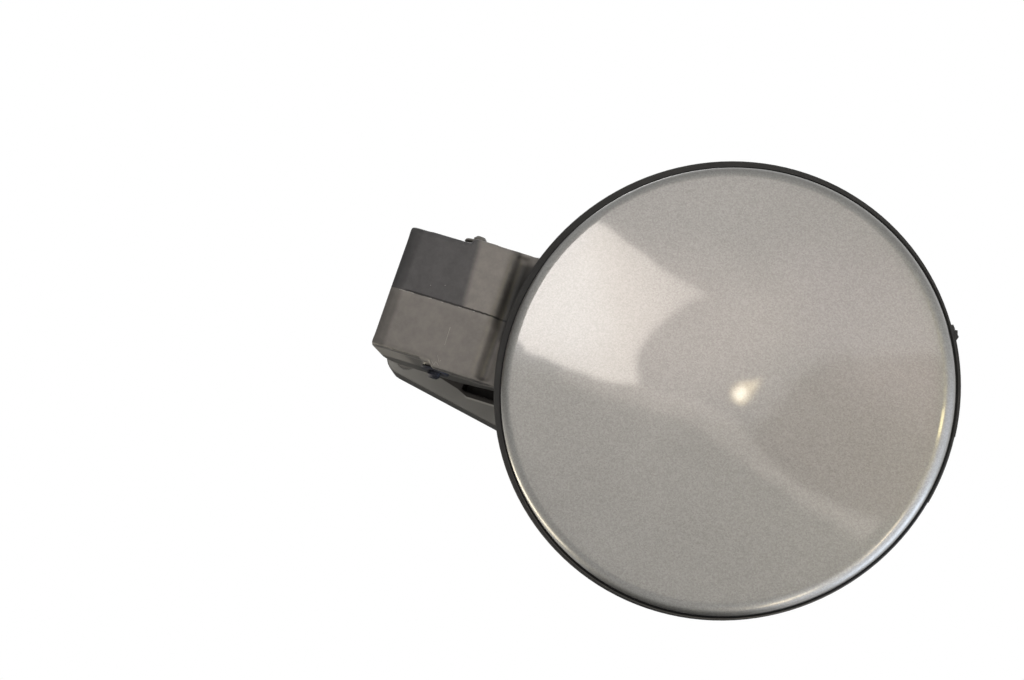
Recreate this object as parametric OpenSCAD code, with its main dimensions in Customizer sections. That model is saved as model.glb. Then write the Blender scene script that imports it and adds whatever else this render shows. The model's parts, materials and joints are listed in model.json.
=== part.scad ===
// Fuel filler flap: a painted round skin on a moulded panel, a cantilever hinge arm and its fixed base.
// X runs from the hinge to the disc, Y runs into the car, Z is up.
// The origin is the middle of the four screw holes, on the mounting face of the base.

/* [Painted skin] */
// Diameter of the painted disc
skin_d = 150; // [130:1:170]
// Sheet thickness of the skin
skin_t = 0.8; // [0.6:0.1:1.2]
// Height of the crown over the rim
crown_h = 1; // [0.4:0.1:2]
// Outside radius of the rolled edge
roll_r = 4; // [3:0.25:5]
// Depth of the skin behind the crown
skin_depth = 6; // [5.6:0.1:8]
// Shift of the skin on its panel, away from the hinge
skin_shift_x = 1; // [0:0.1:1.1]
// Shift of the skin on its panel, downwards
skin_shift_z = 0.5; // [0:0.1:0.8]

/* [Inner panel] */
// How far the panel flange stands out past the skin
ring_over = 1.9; // [1.6:0.1:2.6]
// Thickness of the panel flange
ring_t = 2; // [1.5:0.1:3]
// Thickness of the panel sheet
sheet_t = 2.5; // [2:0.1:3]
// Gap between skin and panel sheet, filled by adhesive
glue_gap = 0.4; // [0.3:0.1:0.8]
// How far the finger lip stands out past the flange
lip_over = 0.4; // [0.2:0.1:1.5]
// Angle from the axis of the arm up to the top end of the finger lip
lip_up_deg = 30.6; // [20:0.2:40]
// Angle from the axis of the arm down to the low end of the finger lip
lip_down_deg = 12.2; // [8:0.2:25]
// Thickness of the stiffening ribs
rib_t = 1.8; // [1.2:0.1:2.5]
// Height of the stiffening ribs on the back of the panel
rib_h = 5; // [4:0.25:7]
// Radius of the middle ring rib
rib_ring_r = 24; // [18:1:30]
// Distance of the outer ring rib from the rim of the disc
rib_in = 23; // [21:0.5:28]

/* [Hinge arm] */
// Distance from the hinge pin to the rim of the disc
pin_to_rim = 21.6; // [20:0.2:32]
// Depth of the hinge pin behind the front of the disc
pin_depth = 15; // [14.5:0.25:17]
// Height of the middle of the arm over the middle of the disc
arm_rise = 0.95; // [0:0.05:3]
// Depth of the front face of the arm behind the front of the disc
face_depth = 7; // [6.5:0.1:7.2]
// Length of the tail past the hinge pin
tail_l = 22.8; // [19:0.2:23.2]
// Width of the tail
tail_w = 42.6; // [40:0.2:44]
// Width of the arm beside the disc
arm_w = 46.4; // [45:0.2:50]
// Wall of the front face
face_t = 2.5; // [2:0.1:2.6]
// Wall of each side cheek
cheek_t = 3; // [2.5:0.1:3.4]
// Depth of the cheeks behind the pin
cheek_depth = 21; // [18:0.25:21.5]
// Radius at the back corner of the tail
cheek_r = 7; // [5:0.25:9]
// Radius of the front edge at the end of the tail
tail_r = 3; // [1:0.25:3.5]
// Draft of the front face on each side of the parting line, in degrees
draft = 1; // [0:0.25:1.5]
// Chamfer along the front edges of the tail
tail_edge = 0.9; // [0.3:0.1:1.2]
// Chamfer along the front edges between tail and disc
arm_edge = 0.4; // [0.2:0.1:1]
// Depth of the valley beside the disc
valley_d = 2.4; // [1:0.1:3]
// Width of the rails that close the valley at both sides
rail_w = 1.4; // [1:0.1:2]
// Length of the foot behind the disc, past the rim of the panel
foot_l = 40; // [36:0.5:46]
// Thickness of the foot
foot_t = 3; // [2.5:0.1:3.5]

/* [Hinge] */
// Diameter of the hinge pin
pin_d = 4.5; // [4:0.1:5]
// How far each pin end stands proud of the arm
pin_proud = 2.1; // [1:0.1:3]
// Wall of the bearing bushes
bush_t = 1; // [0.8:0.1:1.1]
// Wall of the knuckle round each bush
knuckle_t = 1.5; // [1.2:0.1:1.6]
// Length of each knuckle
knuckle_l = 6.8; // [5:0.1:8]
// Thickness of the push-on clips
clip_t = 0.9; // [0.6:0.1:1]
// Diameter of the push-on clips
clip_d = 10; // [8:0.25:11]
// Wire diameter of the closing spring
wire_d = 1.4; // [1:0.1:1.5]
// Number of turns of the closing spring
spring_turns = 8; // [5:1:9]

/* [Base] */
// Gap between the swinging cheeks and the plate of the base
swing_gap = 1.5; // [0.8:0.1:3]
// Thickness of the plate
plate_t = 3; // [2.5:0.1:3.5]
// Depth of the skirt, from the front of the plate to the mounting face
skirt_h = 8; // [7:0.25:10]
// Thickness of the skirt
skirt_t = 2.2; // [1.8:0.1:3]
// Length of the base on the tail side of the pin
base_tail_l = 25.5; // [24:0.25:28]
// Length of the base on the disc side of the pin
base_disc_l = 42; // [40:0.5:48]
// Half width of the base at its tail end
base_end_w = 21.8; // [21:0.1:24]
// Half width of the base at its widest
base_wide_w = 32; // [30:0.1:34]
// Thickness of the tower that carries the knuckles
tower_t = 5; // [4:0.1:5.5]
// Half width of the well behind the arm
well_w = 24; // [22:0.1:25]
// Thickness of the floor of the well
well_t = 2; // [1.5:0.1:3]
// Screw hole spacing along the arm
hole_x = 52; // [50:0.5:54]
// Screw hole spacing across the arm
hole_z = 34; // [33:0.5:35]
// Diameter of the screw holes
hole_d = 5.5; // [4.5:0.1:6]
// Wall of the steel sleeves
sleeve_t = 1; // [0.8:0.1:1.2]

/* [Fasteners and rubber] */
// Thread diameter of the panel screws
screw_d = 4; // [3:0.1:4.5]
// Head diameter of the panel screws
head_d = 7.6; // [6:0.1:8]
// Head height of the panel screws
head_h = 2.4; // [2:0.1:3]
// Diameter of the rubber bumpers
bumper_d = 10; // [8:0.25:12]
// Height of the rubber bumpers
bumper_h = 6; // [4:0.25:8]
// Gap between the bumpers and the wall of the panel
bumper_gap = 0.5; // [0.3:0.1:4]
// Angle of each bumper from the axis of the arm
bumper_a = 52; // [44:1:60]
// Distance of the catch plate from the rim of the disc
eye_in = 13; // [12:0.5:16]
// Height of the catch plate over its foot
eye_h = 17; // [14:0.5:20]
// Width of the catch plate where the lock pin drops in
eye_w = 11; // [10:0.5:14]
// Sheet thickness of the catch plate
eye_t = 2; // [1.5:0.1:2.5]
// Length of the foot of the catch plate
eye_foot_l = 26; // [25:0.5:32]
// Width of the foot of the catch plate
eye_foot_w = 12; // [11:0.5:14]
// Screw spacing of the catch plate
eye_screws = 16; // [15:0.5:18]
// Opening angle of the flap
open_deg = 100; // [90:1:102]

/* [Hidden] */
$fn = 64;
paint = "#a6a099";
moulded = "#3c3a39";
rubber = "#232323";
steel = "#8d8f92";
brass = "#b8a26a";
fit = 0.05; // running and screw clearance on the radius
grip = 0.02; // clearance on the radius of a part that is pressed in
seat = 0.3; // gap where rubber or a rolled form rests on its seat
tail_hole = 18; // from the pin to the screw holes on the tail side
mid_x = hole_x / 2 - tail_hole;
plate_y = cheek_reach() + swing_gap; // front of the plate, behind the pin
mount_y = plate_y + skirt_h; // mounting face, behind the pin
skin_r = skin_d / 2;
ring_r = skin_r + ring_over;
eye_x = skin_r - eye_in;
rib_out_r = skin_r - rib_in;
arm_reach = pin_to_rim + skin_r; // from the pin to the middle of the disc
ring_y = skin_depth; // depth of the front of the flange
sheet_y = crown_h + skin_t + glue_gap;
pad_y = ring_y + ring_t + seat; // depth of the pads that the foot sits on
skin_shift = norm([skin_shift_x, skin_shift_z]);
wall_r = skin_r - skin_t - skin_shift - seat; // wall of the panel inside the skin
wall_in = 5; // the wall runs into the sheet this far inside
bumper_r = wall_r - wall_in - bumper_gap - bumper_d / 2;
foot_y = pad_y - pin_depth;
face_y = face_depth - pin_depth;
rim_x = pin_to_rim;
step_x = -0.5; // the arm widens here
crest_x = -1.5; // highest line of the front face
tail_drop = 1; // the front face falls away this far at the end of the tail
run_drop = 0.4; // and this far from its crest to the valley
valley_x0 = rim_x - 8;
valley_x1 = rim_x + 0.5;
foot_x0 = rim_x + 7; // the foot lies flat on the panel from here
foot_x1 = rim_x + foot_l;
foot_end_w = 14; // half width of the foot at its end
taper_x = rim_x + 18; // the foot narrows from here
near_hole = [rim_x + 14, 12]; // screw holes of the foot, at both sides of its middle
far_hole = [foot_x1 - 7, 9];
near_rib = [rim_x + 6, 9]; // place and height of the cross ribs on the foot
far_rib = [rim_x + 20, 6];
cross_rib_t = 2;
cheek_turn = [rim_x - 2, 15]; // the back edge of the cheek turns towards the foot here
cheek_z = tail_w / 2 - cheek_t;
bush_r = pin_d / 2 + bush_t;
knuckle_r = bush_r + knuckle_t;
flange_t = 0.8; // flange of each bush
knuckle_z1 = cheek_z - 2 * fit - flange_t - 0.3;
knuckle_z0 = knuckle_z1 - knuckle_l;
boss_h = 1; // pin boss outside each cheek
arm_boss_r = 4.6;
boss_z = tail_w / 2 + boss_h;
tail_wall = 2.3; // end wall of the tail
stem_d = 4; // stem of each bumper
pin_end = arm_w / 2 + pin_proud;
tower_x0 = 2;
leg_y = 8.5; // front of the leg between the knuckles
neck_y = 11; // the knuckles run into the tower down to here
base_rib_t = 2; // ribs behind the plate
tower_x1 = tower_x0 + tower_t;
stop_gap = 0.8; // left between tail and tower at full opening, so that the rubber meets first
tail_end_y = (tower_x0 - stop_gap + tail_l * cos(open_deg)) / sin(open_deg); // end of the tail's end wall
stop_x = tower_x1 + 2; // face of the stop rib in the arm
stop_y = 11; // middle of the closing buffer, behind the pin
stop_r = 2.6;
stop_stem_d = 2;
stop_rib_t = 2.4;
buffer_y = 16; // middle of the opening buffer, behind the pin
buffer_r = 3;
well_x0 = tower_x1 - 5.4;
well_wall = 1.8;
well_x1 = 25;
waist_x = 18.5; // the sides of the base turn here
waist_w = 30;
wide_x = 30;
boss_t = 2.2; // wall of the moulded boss round each sleeve
pad_r = screw_d / 2 + 2.5; // screw bosses of the panel
screw_gap = 0.3; // radial gap round a screw in the part it holds down
hole_rest = 1.3; // a screw ends this far behind the front of the panel sheet
back_y = sheet_y + sheet_t; // back of the panel sheet
spring_gap = 0.8; // between the pin and the coil
spring_r = pin_d / 2 + spring_gap + wire_d / 2;

// reach of the rounded cheek corner from the pin
function cheek_reach() = norm([tail_l - cheek_r, cheek_depth - cheek_r]) + cheek_r;

// points of an arc about c, both ends included
function arc(c, r, a0, a1, n = 8) =
  [for (i = [0:n]) c + r * [cos(a0 + (a1 - a0) * i / n), sin(a0 + (a1 - a0) * i / n)]];

function unit(v) = v / norm(v);

// a closed outline whose corners [x, y, r] are rounded with short arcs
function corner(p, q, s, r, n) =
  let (a = unit(p - q), b = unit(s - q), half = acos(a * b) / 2, side = unit(a + b))
  let (c = q + side * r / sin(half), t0 = q + a * r / tan(half), t1 = q + b * r / tan(half))
  let (a0 = atan2(t0[1] - c[1], t0[0] - c[0]), raw = atan2(t1[1] - c[1], t1[0] - c[0]) - a0)
  let (sweep = raw > 180 ? raw - 360 : (raw < -180 ? raw + 360 : raw))
  r < 0.01 ? [q] : arc(c, r, a0, a0 + sweep, n);
function xy(p) = [p[0], p[1]];
function rounded(p, n = 6) =
  [for (i = [0:len(p) - 1])
    each corner(xy(p[(i + len(p) - 1) % len(p)]), xy(p[i]), xy(p[(i + 1) % len(p)]), p[i][2], n)];

// depth of the front face of the arm at x, seen from the pin
function bend(x) = 0.5 - 0.5 * cos(360 * (x - valley_x0) / (valley_x1 - valley_x0));
function face_at(x) =
  x < crest_x ? face_y + tail_drop * pow((crest_x - x) / tail_l, 2) :
  x < valley_x0 ? face_y + run_drop * pow((x - crest_x) / (valley_x0 - crest_x), 2) :
  x < valley_x1 ? face_y + run_drop + (foot_y - face_y - run_drop) * (x - valley_x0) / (valley_x1 - valley_x0)
    + valley_d * bend(x) :
  foot_y;

// places things at the pin, at the middle of the arm
module at_pin() {
  translate([-mid_x, -mount_y, 0]) children();
}

// x to the right, y downwards and z into the car, from the front of the disc
module on_disc() {
  at_pin() translate([arm_reach, -pin_depth, -arm_rise]) rotate([-90, 0, 0]) children();
}

// an outline in x and z, extruded along Y from y0 to y1
module slab(points, y0, y1) {
  translate([0, y1, 0]) rotate([90, 0, 0]) linear_extrude(y1 - y0) polygon(points);
}

module both_sides() {
  children();
  mirror([0, 0, 1]) children();
}

// a bar along Z, mirrored about the middle of the arm
module bar(points, z0, z1) {
  both_sides() translate([0, 0, z0]) linear_extrude(z1 - z0) polygon(points);
}

module outer_skin() {
  lip = [[skin_r, skin_depth], [skin_r - skin_t, skin_depth]];
  bend_c = [skin_r - roll_r, crown_h + roll_r];
  crown = [for (i = [0:8]) let (r = bend_c[0] * i / 8) [r, crown_h * pow(r / skin_r, 2)]];
  inside = [for (i = [8:-1:0]) crown[i] + [0, skin_t]];
  color(paint) on_disc() translate([skin_shift_x, skin_shift_z, 0])
    rotate_extrude($fn = 180) polygon(concat(
      [for (i = [0:7]) crown[i]],
      arc(bend_c, roll_r, -90, 0, 10),
      lip,
      arc(bend_c, roll_r - skin_t, 0, -90, 10),
      [for (i = [1:8]) inside[i]]
    ));
}

// a wedge from the middle of the disc, to cut rings with
module wedge(a0, a1, r, z0, z1) {
  translate([0, 0, z0]) linear_extrude(z1 - z0)
    polygon(concat([[0, 0]], arc([0, 0], r, a0, a1, 6)));
}

module ring(r0, r1, z0, z1) {
  translate([0, 0, z0]) difference() {
    cylinder(r = r1, h = z1 - z0, $fn = 180);
    translate([0, 0, -1]) cylinder(r = r0, h = z1 - z0 + 2, $fn = 180);
  }
}

// screw places on the foot of the arm, from the pin
function arm_holes() = [for (h = [near_hole, far_hole], s = [-1, 1]) [h[0], s * h[1]]];
function latch_holes() = [for (s = [-1, 1]) [eye_x, s * eye_screws / 2]];

// stiffening ribs on the back of the panel
module panel_ribs() {
  ring(rib_ring_r - rib_t, rib_ring_r, back_y - 0.5, back_y + rib_h);
  ring(rib_out_r - rib_t, rib_out_r, back_y - 0.5, back_y + rib_h);
  // the spokes are a little lower than the rings
  for (a = [30:30:330]) {
    if (abs(a - 180) > 40) rotate(a) translate([rib_ring_r - rib_t / 2, -rib_t / 2, back_y - 0.5])
      cube([wall_r - 2 - rib_ring_r, rib_t, rib_h]);
  }
}

module panel_body() {
  rotate_extrude($fn = 180) polygon([
    [0, sheet_y], [skin_r - roll_r - 0.8, sheet_y], [wall_r - 0.5, sheet_y + 2.4],
    [wall_r, sheet_y + 3], [wall_r, ring_y], [ring_r - 0.4, ring_y], [ring_r, ring_y + 0.4],
    [ring_r, ring_y + ring_t - 0.5], [ring_r - 0.5, ring_y + ring_t],
    [wall_r - wall_in + 1, ring_y + ring_t], [wall_r - wall_in, back_y], [0, back_y]
  ]);
  finger_lip(lip_over, -lip_up_deg, -lip_up_deg / 6, 0.2);
  finger_lip(lip_over / 2, -lip_up_deg / 6 - 0.5, lip_down_deg, 0.3);
  // the torn gate at the top end of the lip
  rotate(-lip_up_deg) translate([ring_r, 0, ring_y + 0.55]) linear_extrude(ring_t - 1.2) polygon([
    [-1.2, -3.4], [0.6, -3.1], [0.8, -1.6], [0.6, -1.3], [1.5, -0.9], [1.2, 0.5], [1.4, 1.2],
    [0.3, 2.2], [-1.2, 2.4]
  ]);
}

// a stretch of the flange that stands out for the finger, drawn in by inset at its front and back
module finger_lip(over, a0, a1, inset) {
  intersection() {
    ring(ring_r - 1.5, ring_r + over, ring_y + inset, ring_y + ring_t - inset);
    wedge(a0, a1, ring_r + 8, 0, 20);
  }
}

// screw places of the foot and of the catch plate, from the middle of the disc
function foot_places() = [for (h = arm_holes()) [h[0] - arm_reach, -h[1] - arm_rise]];
function panel_places() = concat(foot_places(), latch_holes());

module inner_panel() {
  color(moulded) on_disc() difference() {
    union() {
      panel_body();
      difference() {
        panel_ribs();
        // the seats of the foot, the catch plate and the bumpers stay flat
        translate([foot_x0 - arm_reach - 12, -arm_w / 2 - 2 - arm_rise, back_y])
          cube([foot_l + 8, arm_w + 4, rib_h + 2]);
        translate([eye_x - eye_foot_w / 2 - 2, -eye_foot_l / 2 - 2, back_y])
          cube([eye_foot_w + 4, eye_foot_l + 4, rib_h + 2]);
        for (s = [-1, 1]) rotate(s * bumper_a) translate([bumper_r, 0, back_y])
          cylinder(d = bumper_d + 1, h = rib_h + 2);
      }
      for (h = panel_places()) translate([h[0], h[1], back_y - 0.5])
        cylinder(r = pad_r, h = pad_y - back_y + 0.5);
      // two low rails steady the foot between its screws
      for (s = [-1, 1])
        translate([foot_x0 - arm_reach + 3, s * (arm_w / 2 - 4) - arm_rise - rib_t / 2, back_y - 0.5])
          cube([12, rib_t, pad_y - back_y + 0.5]);
    }
    for (h = panel_places()) translate([h[0], h[1], sheet_y + 1])
      cylinder(d = screw_d + 2 * fit, h = 20);
    for (s = [-1, 1]) rotate(s * bumper_a) translate([bumper_r, 0, sheet_y + 1])
      cylinder(d = stem_d + 2 * fit, h = 20);
  }
}

// outline of the arm seen from the front
function arm_outline() =
  let (t = tail_w / 2, a = arm_w / 2, x1 = foot_x1)
  rounded([
    [-tail_l, -t, 1.2], [step_x - 1, -t, 0.6], [step_x + 1, -a, 0.8], [taper_x, -a, 6],
    [x1, -foot_end_w, 6], [x1, foot_end_w, 6], [taper_x, a, 6], [step_x + 1, a, 0.8], [step_x - 1, t, 0.6],
    [-tail_l, t, 1.2]
  ]);

// the front wall of the arm from the tail to the rim of the disc, cut along the middle
function face_band() =
  let (c = [-tail_l + tail_r, face_at(-tail_l + tail_r) + tail_r])
  let (xs = [for (i = [1:12]) c[0] + i * (crest_x - c[0]) / 12])
  let (flat = [for (i = [1:4]) crest_x + i * (valley_x0 - crest_x) / 4])
  let (dip = [for (i = [1:18]) valley_x0 + i * (valley_x1 - valley_x0) / 18])
  let (front = [for (x = concat(xs, flat, dip)) [x, face_at(x)]])
  let (back = [for (i = [len(front) - 1:-1:0]) front[i] + [0, face_t]])
  concat(
    arc(c, tail_r, 180, 270, 8), front, [[valley_x1 + 1, foot_y], [valley_x1 + 1, foot_y + face_t]], back,
    [[c[0], c[1] - tail_r + face_t], [-tail_l + tail_wall, c[1] - tail_r + face_t + 0.5],
     [-tail_l + tail_wall, tail_end_y], [-tail_l, tail_end_y]]
  );

// a rail that closes the end of the valley, rooted in the front wall
function rail_outline() =
  let (x = (valley_x0 + valley_x1) / 2, root = face_t * 0.6)
  [[valley_x0, face_at(valley_x0)], [valley_x1, foot_y], [valley_x1, foot_y + root],
   [x, face_at(x) + root], [valley_x0, face_at(valley_x0) + root]];

// one outline along Z for each side of the parting line, both tilted by the draft
module drafted(points, z0) {
  both_sides() intersection() {
    translate([0, face_y, 0]) rotate([-draft, 0, 0]) translate([0, -face_y, z0 - 1])
      linear_extrude(arm_w / 2 + 2 - z0) polygon(points);
    translate([-tail_l - 5, -30, z0]) cube([arm_reach, 60, arm_w]);
  }
}

// a chamfer of size c along the front edge at the half width w, from x0 to x1
module edge_cut(x0, x1, w, c) {
  rise = face_at(x1) - face_at(x0);
  both_sides() translate([x0, face_at(x0) + w * tan(draft), w]) rotate([0, 0, atan2(rise, x1 - x0)])
    rotate([-45, 0, 0]) translate([0, -3, -3]) cube([norm([x1 - x0, rise]), 3 + c / sqrt(2), 6]);
}

// the side cheek: a deep web at the tail that thins to a rib on the foot
function cheek_outline() =
  let (xs = [for (i = [0:14]) -tail_l + 1.5 + i * (valley_x0 + tail_l - 1.5) / 14])
  let (dip = [for (i = [1:12]) valley_x0 + i * (valley_x1 - valley_x0) / 12])
  let (top = [for (x = concat(xs, dip)) [x, face_at(x) + 1]])
  let (c = [-tail_l + cheek_r, cheek_depth - cheek_r])
  concat(
    [[-tail_l, face_at(-tail_l) + 1.5]], top, [[foot_x1 - 6, foot_y + 1], [foot_x1 - 6, foot_y + foot_t]],
    [[rim_x + 24, foot_y + foot_t + 3.4], [rim_x + 10, 6], cheek_turn],
    arc([4, cheek_depth - 6], 6, 50, 90, 4),
    arc(c, cheek_r, 90, 180, 8)
  );

module hinge_arm() {
  color(moulded) at_pin() difference() {
    union() {
      difference() {
        intersection() {
          union() {
            drafted(face_band(), 0);
            drafted(rail_outline(), arm_w / 2 - rail_w);
            slab([[valley_x1, -arm_w], [foot_x1, -arm_w], [foot_x1, arm_w], [valley_x1, arm_w]],
              foot_y, foot_y + foot_t);
          }
          slab(arm_outline(), -20, 40);
        }
        edge_cut(-tail_l - 1, step_x, tail_w / 2, tail_edge);
        edge_cut(step_x + 0.2, valley_x0, arm_w / 2, arm_edge);
      }
      bar(cheek_outline(), cheek_z, tail_w / 2);
      both_sides() translate([0, 0, cheek_z + 1]) cylinder(r = arm_boss_r, h = boss_z - cheek_z - 1);
      // the stop rib meets the closing buffer
      translate([stop_x, face_y + 1, -cheek_z - 0.5])
        cube([stop_rib_t, stop_y + 4 - face_y, 2 * cheek_z + 1]);
      for (r = [near_rib, far_rib])
        translate([r[0], foot_y + 1, -cheek_z - 0.5]) cube([cross_rib_t, r[1], 2 * cheek_z + 1]);
      // the middle rib runs from the valley along the foot
      translate([rim_x - 6, face_y + 3.5, -cross_rib_t / 2]) cube([foot_l - 4, foot_t + 3.5, cross_rib_t]);
    }
    translate([0, 0, -arm_w]) cylinder(d = pin_d + 2 * fit, h = 2 * arm_w);
    for (h = arm_holes()) translate([h[0], foot_y - 1, h[1]]) rotate([-90, 0, 0]) {
      cylinder(r = screw_d / 2 + screw_gap, h = 20);
      translate([0, 0, foot_t + 1]) cylinder(d = head_d + 1, h = 20);
    }
  }
}

// a pan head screw from the back, its head on depth y
module pan_screw(length) {
  translate([0, 0, -length]) cylinder(d = screw_d, h = length + 0.5);
  difference() {
    rotate_extrude() polygon(concat([[0, 0]], arc([head_d / 2 - 1, 1], 1, -90, 0, 2),
      arc([head_d / 2 - head_h * 0.6, head_h * 0.4], head_h * 0.6, 0, 90, 6), [[0, head_h]]));
    for (a = [0, 90]) rotate(a) translate([-head_d * 0.3, -0.45, head_h - 1.1]) cube([head_d * 0.6, 0.9, 2]);
  }
}

module arm_screws() {
  color(steel) for (h = arm_holes())
    at_pin() translate([h[0], foot_y + foot_t, h[1]]) rotate([-90, 0, 0])
      pan_screw(foot_t + pad_y - sheet_y - hole_rest);
}

module latch_screws() {
  color(steel) on_disc() for (h = latch_holes()) translate([h[0], h[1], pad_y + eye_t])
    pan_screw(eye_t + pad_y - sheet_y - hole_rest);
}

// the catch plate: a bent steel eye that the lock pin drops into
module latch_eye() {
  l = eye_foot_l / 2;
  w = eye_foot_w / 2;
  hole_w = eye_w - 4;
  color(steel) on_disc() {
    difference() {
      translate([0, 0, pad_y]) linear_extrude(eye_t)
        polygon(rounded([[eye_x - w, -l, 3], [eye_x + w, -l, 3], [eye_x + w, l, 3], [eye_x - w, l, 3]]));
      for (h = latch_holes()) translate([h[0], h[1], 0]) cylinder(r = screw_d / 2 + screw_gap, h = 20);
    }
    translate([eye_x - w, 0, pad_y + 0.5]) difference() {
      rotate([90, 0, 90]) linear_extrude(eye_t) polygon(rounded([
        [-hole_w / 2, 0, 0], [hole_w / 2, 0, 0], [eye_w / 2, eye_h * 0.3, 1], [eye_w / 2, eye_h, 3],
        [-eye_w / 2, eye_h, 3], [-eye_w / 2, eye_h * 0.3, 1]
      ]));
      translate([-1, -hole_w / 2, eye_h - 9]) cube([eye_t + 2, hole_w, 6]);
    }
  }
}

module bumper(s) {
  color(rubber) on_disc() rotate(s * bumper_a) translate([bumper_r, 0, sheet_y + sheet_t]) {
    rotate_extrude() polygon(concat([[0, 0], [bumper_d / 2 - 0.6, 0]],
      arc([bumper_d / 2 - 0.6, 0.6], 0.6, -90, 0, 2),
      arc([bumper_d / 2 - 2, bumper_h - 2], 2, 0, 90, 5), [[0, bumper_h]]));
    translate([0, 0, 1.3 - sheet_t]) cylinder(d = stem_d, h = sheet_t);
  }
}
module upper_bumper() { bumper(-1); }
module lower_bumper() { bumper(1); }

module hinge_pin() {
  r = pin_d / 2;
  c = 0.8; // chamfer of each end
  color(steel) at_pin() rotate_extrude() polygon([
    [0, -pin_end], [r - c, -pin_end], [r, -pin_end + c], [r, pin_end - c], [r - c, pin_end], [0, pin_end]
  ]);
}

module pin_clip(s) {
  color(steel) at_pin() mirror([0, 0, s]) translate([0, 0, boss_z]) difference() {
    rotate_extrude() polygon([
      [0, 0], [clip_d / 2 - 0.2, 0], [clip_d / 2, 0.3], [clip_d / 2 - 0.3, clip_t], [0, clip_t]
    ]);
    translate([0, 0, -1]) cylinder(d = pin_d + 2 * fit, h = 4);
    for (a = [30, 150, 270]) rotate(a) translate([pin_d / 2 - 0.4, -0.4, -1]) cube([1.6, 0.8, 4]);
  }
}
module upper_pin_clip() { pin_clip(0); }
module lower_pin_clip() { pin_clip(1); }

module bush(s) {
  color(brass) at_pin() mirror([0, 0, s]) difference() {
    union() {
      translate([0, 0, knuckle_z0]) cylinder(r = bush_r, h = knuckle_l);
      translate([0, 0, knuckle_z1]) cylinder(r = knuckle_r - 0.4, h = flange_t);
    }
    translate([0, 0, knuckle_z0 - 1]) cylinder(d = pin_d + 2 * fit, h = knuckle_l + 4);
  }
}
module upper_bush() { bush(0); }
module lower_bush() { bush(1); }

// outline of the base seen from the front, drawn in by d
function base_outline(d = 0) =
  rounded([
    [-base_tail_l + d, -base_end_w + d, 6 - d], [waist_x, -waist_w + d, 4], [wide_x, -base_wide_w + d, 4],
    [base_disc_l - d, -base_wide_w + d, 6 - d], [base_disc_l - d, base_wide_w - d, 6 - d],
    [wide_x, base_wide_w - d, 4], [waist_x, waist_w - d, 4], [-base_tail_l + d, base_end_w - d, 6 - d]
  ]);

function holes() = [for (x = [-hole_x / 2, hole_x / 2], z = [-hole_z / 2, hole_z / 2]) [x + mid_x, z]];

// the side of the tower: a round knuckle that runs into a flat leg
module tower_side(top) {
  cylinder(r = knuckle_r, h = top);
  linear_extrude(top) polygon([
    [-knuckle_r * 0.8, knuckle_r * 0.6], [tower_x0, neck_y], [tower_x0, plate_y - 3],
    [tower_x0 - 3, plate_y + 1], [tower_x1 + 1, plate_y + 1], [tower_x1, plate_y - 2],
    [tower_x1, 2], [knuckle_r, 0]
  ]);
}

// outline of the well, drawn in by d
function well_outline(d = 0) =
  rounded([
    [well_x0 + d, -well_w + d, 3 - d], [well_x1 - d, -well_w + d, 3 - d],
    [well_x1 - d, well_w - d, 3 - d], [well_x0 + d, well_w - d, 3 - d]
  ], 4);

module hinge_base() {
  boss_r = hole_d / 2 + sleeve_t + boss_t;
  color(moulded) at_pin() difference() {
    union() {
      slab(base_outline(), plate_y, plate_y + plate_t);
      difference() {
        slab(base_outline(), plate_y + 1, mount_y);
        slab(base_outline(skirt_t), plate_y, mount_y + 1);
      }
      for (h = holes()) translate([h[0], plate_y + 1, h[1]]) rotate([-90, 0, 0])
        cylinder(r = boss_r, h = skirt_h - 1);
      // ribs behind the plate
      for (z = [-9, 9]) translate([-base_tail_l + 1, plate_y + 1, z - base_rib_t / 2])
        cube([base_tail_l + 2, skirt_h - 2, base_rib_t]);
      for (x = [-10, wide_x + 6]) translate([x, plate_y + 1, -base_end_w])
        cube([base_rib_t, skirt_h - 2, 2 * base_end_w]);
      slab(well_outline(), plate_y + 1, mount_y - 0.5);
      both_sides() translate([0, 0, knuckle_z0]) tower_side(knuckle_l);
      // the leg between the knuckles, under the spring
      translate([tower_x0, leg_y, -knuckle_z0 - 1]) cube([tower_t, plate_y + 1 - leg_y, 2 * knuckle_z0 + 2]);
    }
    difference() {
      slab(well_outline(well_wall), plate_y - 1, mount_y - well_t);
      translate([0, plate_y - 2, -knuckle_z1 - 1.5]) cube([tower_x1 + 2, skirt_h + 2, 2 * knuckle_z1 + 3]);
    }
    translate([0, 0, -arm_w]) cylinder(r = bush_r + grip, h = 2 * arm_w);
    for (h = holes()) translate([h[0], plate_y - 1, h[1]]) rotate([-90, 0, 0])
      cylinder(r = hole_d / 2 + sleeve_t + grip, h = skirt_h + 2);
    // seats of the two buffers
    for (y = [stop_y, buffer_y]) translate([tower_x0 - 1, y, 0]) rotate([0, 90, 0])
      cylinder(d = (y == stop_y ? stop_stem_d : buffer_r) + 2 * fit, h = tower_t + 2);
  }
}

module mount_sleeves() {
  color(steel) at_pin() for (h = holes()) translate([h[0], plate_y, h[1]]) rotate([-90, 0, 0]) difference() {
    cylinder(r = hole_d / 2 + sleeve_t, h = skirt_h);
    translate([0, 0, -1]) cylinder(r = hole_d / 2, h = skirt_h + 2);
  }
}

// where the inside of the opened tail stands, at the depth y behind the pin
function tail_at(y) = -y / tan(open_deg) + (face_at(-y) + face_t) / sin(open_deg);

module open_buffer() {
  color(rubber) at_pin() translate([tower_x0, buffer_y, 0]) rotate([0, -90, 0]) {
    cylinder(r = buffer_r, h = tower_x0 - tail_at(buffer_y + buffer_r) - seat);
    translate([0, 0, -tower_t]) cylinder(d = buffer_r, h = tower_t + 1);
  }
}

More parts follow.
